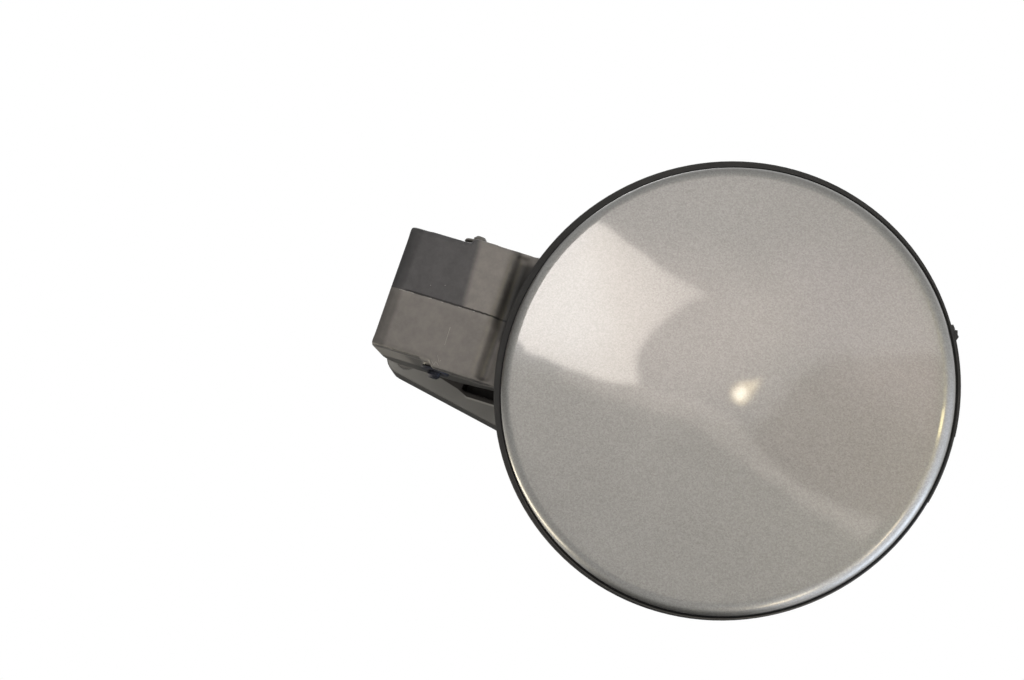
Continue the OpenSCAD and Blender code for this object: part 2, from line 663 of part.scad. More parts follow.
module close_buffer() {
  color(rubber) at_pin() translate([tower_x1, stop_y, 0]) rotate([0, 90, 0]) {
    cylinder(r = stop_r, h = stop_x - tower_x1 - seat);
    translate([0, 0, -tower_t]) cylinder(d = stop_stem_d, h = tower_t + 1);
  }
}

// a round wire swept along points that lie nearly across Z
module wire(p, d, n = 8) {
  last = len(p) - 1;
  rings = [for (i = [0:last])
    let (t = unit(p[min(i + 1, last)] - p[max(i - 1, 0)]), b = unit([0, 0, 1] - t[2] * t), s = cross(b, t))
    for (k = [0:n - 1]) p[i] + d / 2 * (cos(360 * k / n) * s + sin(360 * k / n) * b)];
  sides = [for (i = [0:last - 1], k = [0:n - 1])
    let (a = i * n + k, b = i * n + (k + 1) % n) [a, b, b + n, a + n]];
  ends = [[for (k = [n - 1:-1:0]) k], [for (k = [0:n - 1]) last * n + k]];
  polyhedron(points = rings, faces = concat(sides, ends));
}

module closing_spring() {
  pitch = wire_d + 0.25;
  z0 = -pitch * (spring_turns + 0.25) / 2;
  steps = 12;
  lie_x = tower_x0 - wire_d / 2 - seat; // the fixed leg lies against the tower
  coil = [for (i = [0:steps * (spring_turns + 0.25)])
    let (a = 270 + 360 * i / steps) [spring_r * cos(a), spring_r * sin(a), z0 + pitch * i / steps]];
  leg_in = [[-tail_l + 6, -spring_r, z0], [-tail_l + 12, -spring_r, z0]];
  leg_out = [
    [spring_r - 0.3, 2, -z0], [(spring_r + lie_x) / 2, 4.8, -z0],
    [lie_x, leg_y - 1, -z0], [lie_x, leg_y + 6, -z0]
  ];
  color(steel) at_pin() wire(concat(leg_in, coil, leg_out), wire_d);
}

outer_skin();
inner_panel();
hinge_arm();
arm_screws();
latch_eye();
latch_screws();
upper_bumper();
lower_bumper();
hinge_pin();
upper_pin_clip();
lower_pin_clip();
hinge_base();
upper_bush();
lower_bush();
closing_spring();
open_buffer();
close_buffer();
mount_sleeves();
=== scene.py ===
import json
import math
import bmesh
import bpy
from mathutils import Matrix, Vector, geometry, noise
from mathutils.bvhtree import BVHTree

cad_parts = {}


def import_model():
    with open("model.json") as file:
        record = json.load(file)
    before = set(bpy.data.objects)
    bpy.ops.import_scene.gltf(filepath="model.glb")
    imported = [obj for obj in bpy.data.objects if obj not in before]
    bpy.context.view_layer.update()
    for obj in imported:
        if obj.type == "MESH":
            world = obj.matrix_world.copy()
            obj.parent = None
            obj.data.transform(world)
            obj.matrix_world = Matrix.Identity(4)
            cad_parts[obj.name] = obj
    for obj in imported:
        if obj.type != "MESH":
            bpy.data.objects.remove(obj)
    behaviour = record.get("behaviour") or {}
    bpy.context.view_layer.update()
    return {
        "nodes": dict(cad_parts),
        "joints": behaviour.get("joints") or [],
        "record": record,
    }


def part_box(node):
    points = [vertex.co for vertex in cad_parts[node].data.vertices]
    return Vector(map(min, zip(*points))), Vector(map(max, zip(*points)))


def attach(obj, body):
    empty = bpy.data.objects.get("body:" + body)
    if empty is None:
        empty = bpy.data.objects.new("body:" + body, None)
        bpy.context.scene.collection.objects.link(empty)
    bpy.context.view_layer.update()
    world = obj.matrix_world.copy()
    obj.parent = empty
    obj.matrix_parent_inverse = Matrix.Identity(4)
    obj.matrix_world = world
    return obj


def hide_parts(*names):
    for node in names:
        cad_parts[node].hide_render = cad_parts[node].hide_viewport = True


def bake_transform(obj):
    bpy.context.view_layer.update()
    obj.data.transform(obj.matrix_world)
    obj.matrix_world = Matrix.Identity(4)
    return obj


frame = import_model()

mm = 0.001
nodes = frame["nodes"]
pinPlace = Vector(frame["joints"][0]["pos_m"])
print("frame loaded:", len(nodes), "CAD nodes")

# the disc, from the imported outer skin
skinLow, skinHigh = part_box("outer_skin")
skinMiddle = Vector(((skinLow.x + skinHigh.x) / 2, skinLow.y, (skinLow.z + skinHigh.z) / 2))
discMiddle = skinMiddle + Vector((-1.0, 0, 0.5)) * mm  # the panel's middle, which the skin is a little off

# camera
cameraView = {
    "azimuth": 10.2,  # the camera stands to the right of the disc
    "elevation": -9.0,  # and a little below it
    "roll": 18.6,  # the hinge arm runs up to the left in the picture
    "focalPixels": 4000,
    "distance": 4000 * 0.3285 * mm,
    "aimDepth": 5.5 * mm,
    "discPixel": (724.0, 387.3),
    "picture": (1024, 680),
    "sensor": 36.0,
}


def placeCamera():
    v = cameraView
    a, e, r = (math.radians(v[k]) for k in ("azimuth", "elevation", "roll"))
    toCamera = Vector((math.sin(a) * math.cos(e), -math.cos(a) * math.cos(e), math.sin(e)))
    right = Vector((math.cos(a), math.sin(a), 0))
    down = right.cross(toCamera)
    across = math.cos(r) * right - math.sin(r) * down
    below = math.sin(r) * right + math.cos(r) * down
    ray = Vector((v["discPixel"][0] - v["picture"][0] / 2, v["discPixel"][1] - v["picture"][1] / 2, v["focalPixels"]))
    turn = Vector((0, 0, 1)).rotation_difference(ray.normalized()).to_matrix()
    axes = turn @ Matrix((across, below, -toCamera))
    place = discMiddle + Vector((0, v["aimDepth"], 0)) + toCamera * v["distance"]
    data = bpy.data.cameras.new("camera")
    data.sensor_width = v["sensor"]
    data.lens = v["focalPixels"] / v["picture"][0] * v["sensor"]
    data.clip_start, data.clip_end = 0.05, 50
    camera = bpy.data.objects.new("camera", data)
    facing = Matrix((axes[0], -axes[1], -axes[2])).transposed().to_4x4()
    camera.matrix_world = Matrix.Translation(place) @ facing
    bpy.context.scene.collection.objects.link(camera)
    bpy.context.scene.camera = camera
    return place, axes


cameraPlace, cameraAxes = placeCamera()


def pixelRay(px, py):
    v = cameraView
    ray = Vector((px - v["picture"][0] / 2, py - v["picture"][1] / 2, v["focalPixels"]))
    return (cameraAxes.transposed() @ ray).normalized()


# where a card has to hang to be mirrored by the crowned disc at a place in the picture
mirror = {"crownRadius": 2812.9 * mm}


def mirroredPlace(px, py, far):
    ray = pixelRay(px, py)
    hit = cameraPlace + ray * ((discMiddle.y - cameraPlace.y) / ray.y)
    out = hit - skinMiddle
    normal = Vector((out.x / mirror["crownRadius"], -1, out.z / mirror["crownRadius"])).normalized()
    away = ray - 2 * ray.dot(normal) * normal
    return hit + away * (far / -away.y)


# materials
def linearColour(hexText):
    values = [int(hexText[i:i + 2], 16) / 255 for i in (1, 3, 5)]
    return [c / 12.92 if c <= 0.04045 else ((c + 0.055) / 1.055) ** 2.4 for c in values] + [1.0]


def addNode(tree, kind, settings=None, values=None, links=None):
    node = tree.nodes.new(kind)
    for name, value in (settings or {}).items():
        setattr(node, name, value)
    for name, value in (values or {}).items():
        node.inputs[name].default_value = value
    for name, source in (links or {}).items():
        tree.links.new(source, node.inputs[name])
    return node


def newMaterial(name):
    material = bpy.data.materials.new(name)
    material.use_nodes = True
    tree = material.node_tree
    tree.nodes.clear()
    shader = addNode(tree, "ShaderNodeBsdfPrincipled")
    addNode(tree, "ShaderNodeOutputMaterial", links={"Surface": shader.outputs[0]})
    place = addNode(tree, "ShaderNodeTexCoord").outputs["Object"]
    return material, tree, shader, place


def perMetre(sizeMm):
    return 1000 / sizeMm  # texture scale for a pattern of that size


paintFinish = {
    "colour": "#868581", "dark": "#6C6A66", "flake": 0.4, "cloud": 22.0, "peel": 3.5,
    "metallic": 0.8, "roughness": 0.42, "coat": 1.0, "coatRoughness": 0.03,
}


def metallicPaint():
    # metallic base coat under clear coat, sprayed on pressed steel: an even warm grey with a fine sparkle
    f = paintFinish
    material, tree, shader, place = newMaterial("metallic paint, sprayed and clear coated")
    flake = addNode(tree, "ShaderNodeTexVoronoi", values={"Scale": perMetre(f["flake"])}, links={"Vector": place})
    cloud = addNode(tree, "ShaderNodeTexNoise", values={"Scale": perMetre(f["cloud"]), "Detail": 3.0}, links={"Vector": place})
    grain = addNode(tree, "ShaderNodeSeparateColor", links={"Color": flake.outputs["Color"]})
    mixed = addNode(tree, "ShaderNodeMath", {"operation": "MULTIPLY_ADD"}, {1: 0.6, 2: 0.07}, {0: grain.outputs[0]})
    total = addNode(tree, "ShaderNodeMath", {"operation": "MULTIPLY_ADD"}, {1: 0.35}, {0: cloud.outputs[0], 2: mixed.outputs[0]})
    colour = addNode(tree, "ShaderNodeMix", {"data_type": "RGBA"}, {6: linearColour(f["dark"]), 7: linearColour(f["colour"])}, {0: total.outputs[0]})
    rough = addNode(tree, "ShaderNodeMapRange", values={3: f["roughness"] - 0.05, 4: f["roughness"] + 0.05}, links={0: grain.outputs[1]})
    peel = addNode(tree, "ShaderNodeTexNoise", values={"Scale": perMetre(f["peel"]), "Detail": 1.0}, links={"Vector": place})
    bump = addNode(tree, "ShaderNodeBump", values={"Strength": 1.0, "Distance": 0.0008 * mm}, links={"Height": peel.outputs[0]})
    tree.links.new(colour.outputs[2], shader.inputs["Base Color"])
    tree.links.new(rough.outputs[0], shader.inputs["Roughness"])
    tree.links.new(bump.outputs[0], shader.inputs["Coat Normal"])
    shader.inputs["Metallic"].default_value = f["metallic"]
    shader.inputs["Coat Weight"].default_value = f["coat"]
    shader.inputs["Coat Roughness"].default_value = f["coatRoughness"]
    return material


def mouldedPlastic(name, colour, light, roughness, grain, rounding, patches=0.6):
    # moulded black polypropylene: satin skin with a fine grain, a little paler where edges are rubbed; on the base the
    # edge colour is dark, a painted shade along its edges
    material, tree, shader, place = newMaterial(name)
    fine = addNode(tree, "ShaderNodeTexNoise", values={"Scale": perMetre(grain), "Detail": 4.0}, links={"Vector": place})
    patch = addNode(tree, "ShaderNodeTexNoise", values={"Scale": perMetre(14.0), "Detail": 5.0, "Roughness": 0.6}, links={"Vector": place})
    spread = addNode(tree, "ShaderNodeMapRange", values={1: 0.35, 2: 0.7, 3: 0.0, 4: patches}, links={0: patch.outputs[0]})
    surface = addNode(tree, "ShaderNodeNewGeometry")
    softEdge = addNode(tree, "ShaderNodeBevel", {"samples": 6}, {"Radius": rounding * mm})
    same = addNode(tree, "ShaderNodeVectorMath", {"operation": "DOT_PRODUCT"}, links={0: softEdge.outputs[0], 1: surface.outputs["Normal"]})
    edge = addNode(tree, "ShaderNodeMapRange", values={1: 0.99, 2: 0.85, 3: 0.0, 4: 0.7}, links={0: same.outputs["Value"]})
    both = addNode(tree, "ShaderNodeMath", {"operation": "MAXIMUM"}, links={0: spread.outputs[0], 1: edge.outputs[0]})
    tone = addNode(tree, "ShaderNodeMix", {"data_type": "RGBA"}, {6: linearColour(colour), 7: linearColour(light)}, {0: both.outputs[0]})
    rough = addNode(tree, "ShaderNodeMapRange", values={3: roughness - 0.06, 4: roughness + 0.08}, links={0: fine.outputs[0]})
    bump = addNode(tree, "ShaderNodeBump", values={"Strength": 0.5, "Distance": 0.02 * mm}, links={"Height": fine.outputs[0], "Normal": softEdge.outputs[0]})
    tree.links.new(tone.outputs[2], shader.inputs["Base Color"])
    tree.links.new(rough.outputs[0], shader.inputs["Roughness"])
    tree.links.new(bump.outputs[0], shader.inputs["Normal"])
    return material, tree, shader, tone


armFinish = {
    "dusty": "#6A6560", "darkReflection": "#393737", "darkReflectionMottle": "#4C4A49", "side": "#6E6A63", "worn": "#7F7972", "seamShadow": "#0F0D0C",
    "partingZ": -0.7, "darkReflectionEndX": 4.3, "darkReflectionTilt": 0.086, "darkReflectionFade": 1.4, "frontDepth": 4.5,
    "valleyFrom": 12.4, "valleyTo": 17.0, "valleyShade": 0.08, "endValleyShade": 0.42, "valleyDeepest": 9.0, "lowerShift": 1.6,
    "lipFrom": 16.4, "lipTo": 17.6, "lipShade": 0.85, "lowerHalf": 0.84, "lowEdgeShadow": 0.22, "tailLow": -21.3, "footLow": -23.2,
    "tailFrom": -16.6, "tailTo": -18.6, "tailShade": 0.62, "sideFrom": -12.5, "sideTo": -8.0, "sideShade": 0.4,
    "deepFrom": 8.5, "deepTo": 11.0, "deepShade": 0.25, "shine": 0.3,
}


def between(tree, source, start, end):
    # 0 before start, 1 after end, with a soft rise
    return addNode(tree, "ShaderNodeMapRange", {"interpolation_type": "SMOOTHSTEP"}, {1: start, 2: end}, {0: source}).outputs[0]


def shadedUnderside(tree, shader, share):
    # painted shade: what faces the ground is darker, its colour falls to a share
    colour = shader.inputs["Base Color"].links[0].from_socket
    facing = addNode(tree, "ShaderNodeNewGeometry").outputs["Normal"]
    height = addNode(tree, "ShaderNodeSeparateXYZ", links={0: facing}).outputs[2]
    down = between(tree, height, -0.3, -0.8)
    part = addNode(tree, "ShaderNodeMapRange", values={3: 1.0, 4: share}, links={0: down})
    dimmed = addNode(tree, "ShaderNodeVectorMath", {"operation": "SCALE"}, links={0: colour, 3: part.outputs[0]})
    tree.links.new(dimmed.outputs[0], shader.inputs["Base Color"])


armShadowShape = {
    "tailX": -24.2, "tailHeight": 17.3, "stepFrom": -6.0, "stepTo": -2.0, "beforeStep": 22.1, "afterStep": 23.8,
    "colour": "#3E3B38", "rimHighlightColour": "#B4AFA7", "rimHighlightWidth": 0.8,
}


def paintedArmShadow(tree, shader):
    # painted shadow on the base where the arm lies over it, with a painted highlight along its rim
    c = armShadowShape
    place = addNode(tree, "ShaderNodeTexCoord").outputs["Object"]
    axis = addNode(tree, "ShaderNodeSeparateXYZ", links={0: place})
    height = addNode(tree, "ShaderNodeMath", {"operation": "ABSOLUTE"}, links={0: axis.outputs[2]})
    slant = addNode(tree, "ShaderNodeMapRange", values={
        1: c["tailX"] * mm, 2: c["stepFrom"] * mm, 3: c["tailHeight"] * mm, 4: c["beforeStep"] * mm,
    }, links={0: axis.outputs[0]})
    step = addNode(tree, "ShaderNodeMapRange", values={
        1: c["stepFrom"] * mm, 2: c["stepTo"] * mm, 3: 0.0, 4: (c["afterStep"] - c["beforeStep"]) * mm,
    }, links={0: axis.outputs[0]})
    edge = addNode(tree, "ShaderNodeMath", {"operation": "ADD"}, links={0: slant.outputs[0], 1: step.outputs[0]})
    beyond = addNode(tree, "ShaderNodeMath", {"operation": "SUBTRACT"}, links={0: height.outputs[0], 1: edge.outputs[0]}).outputs[0]
    under = between(tree, beyond, 0.15 * mm, -0.15 * mm)
    nearRim = between(tree, beyond, c["rimHighlightWidth"] * mm, 0.2 * mm)
    pastStep = between(tree, axis.outputs[0], (c["stepTo"] - 2.0) * mm, (c["stepTo"] + 1.0) * mm)
    rim = addNode(tree, "ShaderNodeMath", {"operation": "MULTIPLY"}, links={0: nearRim, 1: pastStep})
    old = shader.inputs["Base Color"].links[0].from_socket
    highlightedRim = addNode(tree, "ShaderNodeMix", {"data_type": "RGBA"}, {7: linearColour(c["rimHighlightColour"])}, {0: rim.outputs[0], 6: old})
    mixed = addNode(tree, "ShaderNodeMix", {"data_type": "RGBA"}, {7: linearColour(c["colour"])}, {0: under, 6: highlightedRim.outputs[2]})
    tree.links.new(mixed.outputs[2], shader.inputs["Base Color"])


def weatheredArm():
    # black polypropylene greyed by dust and sun on its front, with a painted darker, bluer reflection
    # on one quarter beside the parting line, and painted shade in the valley by the disc
    f = armFinish
    material, tree, shader, tone = mouldedPlastic("black polypropylene, moulded and weathered", f["side"], f["worn"], 0.42, 0.35, 0.4)
    place = addNode(tree, "ShaderNodeTexCoord").outputs["Object"]
    wave = addNode(tree, "ShaderNodeTexNoise", values={"Scale": perMetre(1.8), "Detail": 4.0}, links={"Vector": place})
    offset = addNode(tree, "ShaderNodeVectorMath", {"operation": "MULTIPLY_ADD"}, {1: (0.0006, 0.0, 0.0005)}, {0: wave.outputs[1], 2: place})
    axis = addNode(tree, "ShaderNodeSeparateXYZ", links={0: offset.outputs[0]})
    pinX, frontY = pinPlace.x, pinPlace.y - 8.0 * mm
    front = between(tree, axis.outputs[1], frontY + f["frontDepth"] * mm, frontY + (f["frontDepth"] - 1.2) * mm)
    # painted reflection: the quarter above the parting line towards the tail is darker and bluer
    upper = between(tree, axis.outputs[2], f["partingZ"] * mm, (f["partingZ"] + 0.25) * mm)
    tilted = addNode(tree, "ShaderNodeMath", {"operation": "MULTIPLY_ADD"}, {1: f["darkReflectionTilt"]}, {0: axis.outputs[2], 2: axis.outputs[0]}).outputs[0]
    beside = between(tree, tilted, pinX + (f["darkReflectionEndX"] + f["darkReflectionFade"]) * mm, pinX + (f["darkReflectionEndX"] - f["darkReflectionFade"]) * mm)
    darkReflectionMask = addNode(tree, "ShaderNodeMath", {"operation": "MULTIPLY"}, links={0: upper, 1: beside})
    grime = addNode(tree, "ShaderNodeTexNoise", values={"Scale": perMetre(4.0), "Detail": 9.0, "Roughness": 0.75}, links={"Vector": place})
    mottle = between(tree, grime.outputs[0], 0.2, 0.8)
    dusty = addNode(tree, "ShaderNodeMix", {"data_type": "RGBA"}, {6: linearColour(f["dusty"]), 7: linearColour(f["worn"])}, {0: mottle})
    darkReflection = addNode(tree, "ShaderNodeMix", {"data_type": "RGBA"}, {6: linearColour(f["darkReflection"]), 7: linearColour(f["darkReflectionMottle"])}, {0: mottle})
    quarter = addNode(tree, "ShaderNodeMix", {"data_type": "RGBA"}, links={0: darkReflectionMask.outputs[0], 6: dusty.outputs[2], 7: darkReflection.outputs[2]})
    # painted shadow: a dark line just above the parting line, where the two halves of the mould met
    over = between(tree, axis.outputs[2], (f["partingZ"] + 0.85) * mm, (f["partingZ"] + 0.65) * mm)
    inBand = addNode(tree, "ShaderNodeMath", {"operation": "MULTIPLY"}, links={0: upper, 1: over})
    pastTail = between(tree, axis.outputs[0], pinX - 18.0 * mm, pinX - 15.0 * mm)
    seam = addNode(tree, "ShaderNodeMath", {"operation": "MULTIPLY"}, links={0: inBand.outputs[0], 1: pastTail})
    seamed = addNode(tree, "ShaderNodeMix", {"data_type": "RGBA"}, {7: linearColour(f["seamShadow"])}, {0: seam.outputs[0], 6: quarter.outputs[2]})
    # painted shade: the rounded end of the tail and the lower half of the front are darker
    tail = between(tree, axis.outputs[0], pinX + f["tailFrom"] * mm, pinX + f["tailTo"] * mm)
    tailPart = addNode(tree, "ShaderNodeMapRange", values={3: 1.0, 4: f["tailShade"]}, links={0: tail})
    lowerPart = addNode(tree, "ShaderNodeMapRange", values={3: 1.0, 4: f["lowerHalf"]}, links={0: between(tree, axis.outputs[2], 0, -3 * mm)})
    # a painted shadow line along the lower edge, which lies lower beside the foot
    lowEdge = addNode(tree, "ShaderNodeMapRange", values={1: pinX - 4.5 * mm, 2: pinX - 2.5 * mm, 3: f["tailLow"] * mm, 4: f["footLow"] * mm}, links={0: axis.outputs[0]})
    aboveLow = addNode(tree, "ShaderNodeMath", {"operation": "SUBTRACT"}, links={0: axis.outputs[2], 1: lowEdge.outputs[0]}).outputs[0]
    nearLow = between(tree, aboveLow, 1.0 * mm, 0.6 * mm)
    onFace = between(tree, axis.outputs[1], frontY + 3.2 * mm, frontY + 2.2 * mm)
    lineMask = addNode(tree, "ShaderNodeMath", {"operation": "MULTIPLY"}, links={0: nearLow, 1: onFace})
    rimPart = addNode(tree, "ShaderNodeMapRange", values={3: 1.0, 4: f["lowEdgeShadow"]}, links={0: lineMask.outputs[0]})
    twoParts = addNode(tree, "ShaderNodeMath", {"operation": "MULTIPLY"}, links={0: tailPart.outputs[0], 1: lowerPart.outputs[0]})
    allParts = addNode(tree, "ShaderNodeMath", {"operation": "MULTIPLY"}, links={0: twoParts.outputs[0], 1: rimPart.outputs[0]})
    frontal = addNode(tree, "ShaderNodeVectorMath", {"operation": "SCALE"}, links={0: seamed.outputs[2], 3: allParts.outputs[0]})
    # painted shade: the sides of the arm are darker towards the disc and deeper in, towards the base
    flank = between(tree, axis.outputs[0], pinX + f["sideFrom"] * mm, pinX + f["sideTo"] * mm)
    flankPart = addNode(tree, "ShaderNodeMapRange", values={3: 1.0, 4: f["sideShade"]}, links={0: flank})
    deep = between(tree, axis.outputs[1], pinPlace.y + f["deepFrom"] * mm, pinPlace.y + f["deepTo"] * mm)
    deepPart = addNode(tree, "ShaderNodeMapRange", values={3: 1.0, 4: f["deepShade"]}, links={0: deep})
    sidePart = addNode(tree, "ShaderNodeMath", {"operation": "MULTIPLY"}, links={0: flankPart.outputs[0], 1: deepPart.outputs[0]})
    lateral = addNode(tree, "ShaderNodeVectorMath", {"operation": "SCALE"}, links={0: tone.outputs[2], 3: sidePart.outputs[0]})
    body = addNode(tree, "ShaderNodeMix", {"data_type": "RGBA"}, links={0: front, 6: lateral.outputs[0], 7: frontal.outputs[0]})
    # painted shade in the valley beside the disc, deepest a little above the middle
    fromDeepest = addNode(tree, "ShaderNodeMath", {"operation": "SUBTRACT"}, {1: f["valleyDeepest"] * mm}, {0: axis.outputs[2]})
    ends = addNode(tree, "ShaderNodeMath", {"operation": "ABSOLUTE"}, links={0: fromDeepest.outputs[0]})
    depth = addNode(tree, "ShaderNodeMapRange", values={1: 3 * mm, 2: 20 * mm, 3: f["valleyShade"], 4: f["endValleyShade"]}, links={0: ends.outputs[0]})
    # in the lower half the valley's shade lies a little nearer to the disc
    lower = addNode(tree, "ShaderNodeMapRange", values={3: 0.0, 4: -f["lowerShift"] * mm}, links={0: between(tree, axis.outputs[2], -1 * mm, -5 * mm)})
    along = addNode(tree, "ShaderNodeMath", {"operation": "ADD"}, links={0: axis.outputs[0], 1: lower.outputs[0]}).outputs[0]
    valley = between(tree, along, pinX + f["valleyFrom"] * mm, pinX + f["valleyTo"] * mm)
    shade = addNode(tree, "ShaderNodeMapRange", values={3: 1.0}, links={0: valley, 4: depth.outputs[0]})
    # painted light: both ends of the foot show a paler lip beside the ring, lifting the valley's painted shade
    lowEnd = between(tree, axis.outputs[2], -6 * mm, -9 * mm)
    highEnd = between(tree, axis.outputs[2], 19 * mm, 21.5 * mm)
    atEnds = addNode(tree, "ShaderNodeMath", {"operation": "MAXIMUM"}, links={0: lowEnd, 1: highEnd})
    onLip = between(tree, along, pinX + f["lipFrom"] * mm, pinX + f["lipTo"] * mm)
    lip = addNode(tree, "ShaderNodeMath", {"operation": "MULTIPLY"}, links={0: onLip, 1: atEnds.outputs[0]})
    lipped = addNode(tree, "ShaderNodeMapRange", values={4: f["lipShade"]}, links={0: lip.outputs[0], 3: shade.outputs[0]})
    coloured = addNode(tree, "ShaderNodeVectorMath", {"operation": "SCALE"}, links={0: body.outputs[2], 3: lipped.outputs[0]})
    tree.links.new(coloured.outputs[0], shader.inputs["Base Color"])
    shader.inputs["Specular IOR Level"].default_value = f["shine"]
    return material


def metalFinish(name, colour, dark, roughness, grain):
    # metal with a thin plating or oil film: soft patches in tone and short drawn lines
    material, tree, shader, place = newMaterial(name)
    lines = addNode(tree, "ShaderNodeTexNoise", values={"Scale": perMetre(grain), "Detail": 3.0}, links={"Vector": place})
    patch = addNode(tree, "ShaderNodeTexNoise", values={"Scale": perMetre(6.0), "Detail": 3.0}, links={"Vector": place})
    tone = addNode(tree, "ShaderNodeMix", {"data_type": "RGBA"}, {6: linearColour(dark), 7: linearColour(colour)}, {0: patch.outputs[0]})
    rough = addNode(tree, "ShaderNodeMapRange", values={3: roughness - 0.08, 4: roughness + 0.12}, links={0: lines.outputs[0]})
    bump = addNode(tree, "ShaderNodeBump", values={"Strength": 0.4, "Distance": 0.01 * mm}, links={"Height": lines.outputs[0]})
    tree.links.new(tone.outputs[2], shader.inputs["Base Color"])
    tree.links.new(rough.outputs[0], shader.inputs["Roughness"])
    tree.links.new(bump.outputs[0], shader.inputs["Normal"])
    shader.inputs["Metallic"].default_value = 1.0
    return material, tree, shader


def dustAbove(tree, shader, height, colour):
    # above a height the metal is covered by the same dust as the arm
    place = addNode(tree, "ShaderNodeTexCoord").outputs["Object"]
    up = addNode(tree, "ShaderNodeSeparateXYZ", links={0: place}).outputs[2]
    dust = between(tree, up, height * mm, (height + 2) * mm)
    old = shader.inputs["Base Color"].links[0].from_socket
    mixed = addNode(tree, "ShaderNodeMix", {"data_type": "RGBA"}, {7: linearColour(colour)}, {0: dust, 6: old})
    bare = addNode(tree, "ShaderNodeMapRange", values={3: 1.0, 4: 0.0}, links={0: dust})
    tree.links.new(mixed.outputs[2], shader.inputs["Base Color"])
    tree.links.new(bare.outputs[0], shader.inputs["Metallic"])


paint = metallicPaint()
armPlastic = weatheredArm()
# painted shade: the base's edges take a dark colour instead of a pale one
basePlastic, baseTree, baseShader, baseTone = mouldedPlastic("black polypropylene, moulded satin", "#8F8C86", "#201E1C", 0.42, 0.35, 1.3, 0.12)
shadedUnderside(baseTree, baseShader, 0.12)
paintedArmShadow(baseTree, baseShader)
baseShader.inputs["Specular IOR Level"].default_value = 0.12
panelPlastic, panelTree, panelShader, panelTone = mouldedPlastic("black polypropylene, moulded fine grain", "#302F2E", "#3F3E3C", 0.5, 0.3, 0.3)
panelShader.inputs["Specular IOR Level"].default_value = 0.12


def dustyLedgeAndShadow(tree, shader, inner, outer, highest, lowest, colour):
    # dust caught where the ring of the panel stands out under the disc, strongest at the bottom
    place = addNode(tree, "ShaderNodeTexCoord").outputs["Object"]
    centred = addNode(tree, "ShaderNodeVectorMath", {"operation": "SUBTRACT"}, {1: tuple(skinMiddle)}, {0: place})
    flat = addNode(tree, "ShaderNodeVectorMath", {"operation": "MULTIPLY"}, {1: (1, 0, 1)}, {0: centred.outputs[0]})
    far = addNode(tree, "ShaderNodeVectorMath", {"operation": "LENGTH"}, links={0: flat.outputs[0]}).outputs["Value"]
    up = addNode(tree, "ShaderNodeSeparateXYZ", links={0: centred.outputs[0]}).outputs[2]
    start = between(tree, far, (inner - 0.1) * mm, (inner + 0.1) * mm)
    end = between(tree, far, (outer + 0.3) * mm, (outer - 0.3) * mm)
    low = between(tree, up, highest * mm, lowest * mm)
    ring = addNode(tree, "ShaderNodeMath", {"operation": "MULTIPLY"}, links={0: start, 1: end})
    dust = addNode(tree, "ShaderNodeMath", {"operation": "MULTIPLY"}, links={0: ring.outputs[0], 1: low})
    old = shader.inputs["Base Color"].links[0].from_socket
    mixed = addNode(tree, "ShaderNodeMix", {"data_type": "RGBA"}, {7: linearColour(colour)}, {0: dust.outputs[0], 6: old})
    # painted shadow, with no dust, in the corner right beside the edge of the skin
    near = between(tree, far, (inner + 0.75) * mm, (inner + 0.45) * mm)
    past = between(tree, far, (inner - 1.3) * mm, (inner - 0.9) * mm)
    corner = addNode(tree, "ShaderNodeMath", {"operation": "MULTIPLY"}, links={0: near, 1: past})
    black = addNode(tree, "ShaderNodeMix", {"data_type": "RGBA"}, {7: linearColour("#070707")}, {0: corner.outputs[0], 6: mixed.outputs[2]})
    tree.links.new(black.outputs[2], shader.inputs["Base Color"])


dustyLedgeAndShadow(panelTree, panelShader, 75.1, 75.8, -30.0, -58.0, "#6E6A64")
softRubber = mouldedPlastic("black EPDM rubber, moulded", "#141413", "#262523", 0.62, 0.25, 0.3)[0]
zincSteel = metalFinish("zinc plated steel, dulled", "#7C7F82", "#5A5C5F", 0.48, 0.3)[0]
springSteel, springTreeNodes, springShader = metalFinish("spring steel, drawn and oiled", "#36373D", "#222329", 0.5, 0.3)
dustAbove(springTreeNodes, springShader, 17.0, "#5C5852")
filmedSteel, filmedTree, filmedShader = metalFinish("zinc plated steel under a film of dust", "#6F6B65", "#5F5C57", 0.6, 0.3)
filmedShader.inputs["Metallic"].default_value = 0.2
sinteredBronze = metalFinish("bronze, sintered", "#B08A52", "#8A6534", 0.45, 0.2)[0]
finishes = {
    "paint": paint, "moulded_grey": armPlastic, "moulded_black": panelPlastic, "rubber": softRubber,
    "plated_steel": zincSteel, "spring_steel": springSteel, "bronze": sinteredBronze,
}
for part in frame["record"]["subparts"]:
    mesh = nodes[part["node"]].data
    mesh.materials.clear()
    mesh.materials.append(filmedSteel if part["node"] == "mount_sleeves" else finishes[part["material_slot"]])
print("materials made:", len(finishes))


# pieces
def smoothStep(t):
    t = min(max(t, 0), 1)
    return t * t * (3 - 2 * t)


def insideBy(x, y, corners):
    # how far a point lies inside an outline, negative outside
    nearest, inside = 1e9, False
    for (ax, ay), (bx, by) in zip(corners, corners[1:] + corners[:1]):
        dx, dy = bx - ax, by - ay
        t = min(max(((x - ax) * dx + (y - ay) * dy) / (dx * dx + dy * dy), 0), 1)
        nearest = min(nearest, math.hypot(x - ax - t * dx, y - ay - t * dy))
        if (ay > y) != (by > y) and x < ax + (y - ay) * dx / dy:
            inside = not inside
    return nearest if inside else -nearest


def newPiece(name, mesh, material):
    piece = bpy.data.objects.new(name, mesh)
    bpy.context.scene.collection.objects.link(piece)
    mesh.materials.clear()
    mesh.materials.append(material)
    return piece


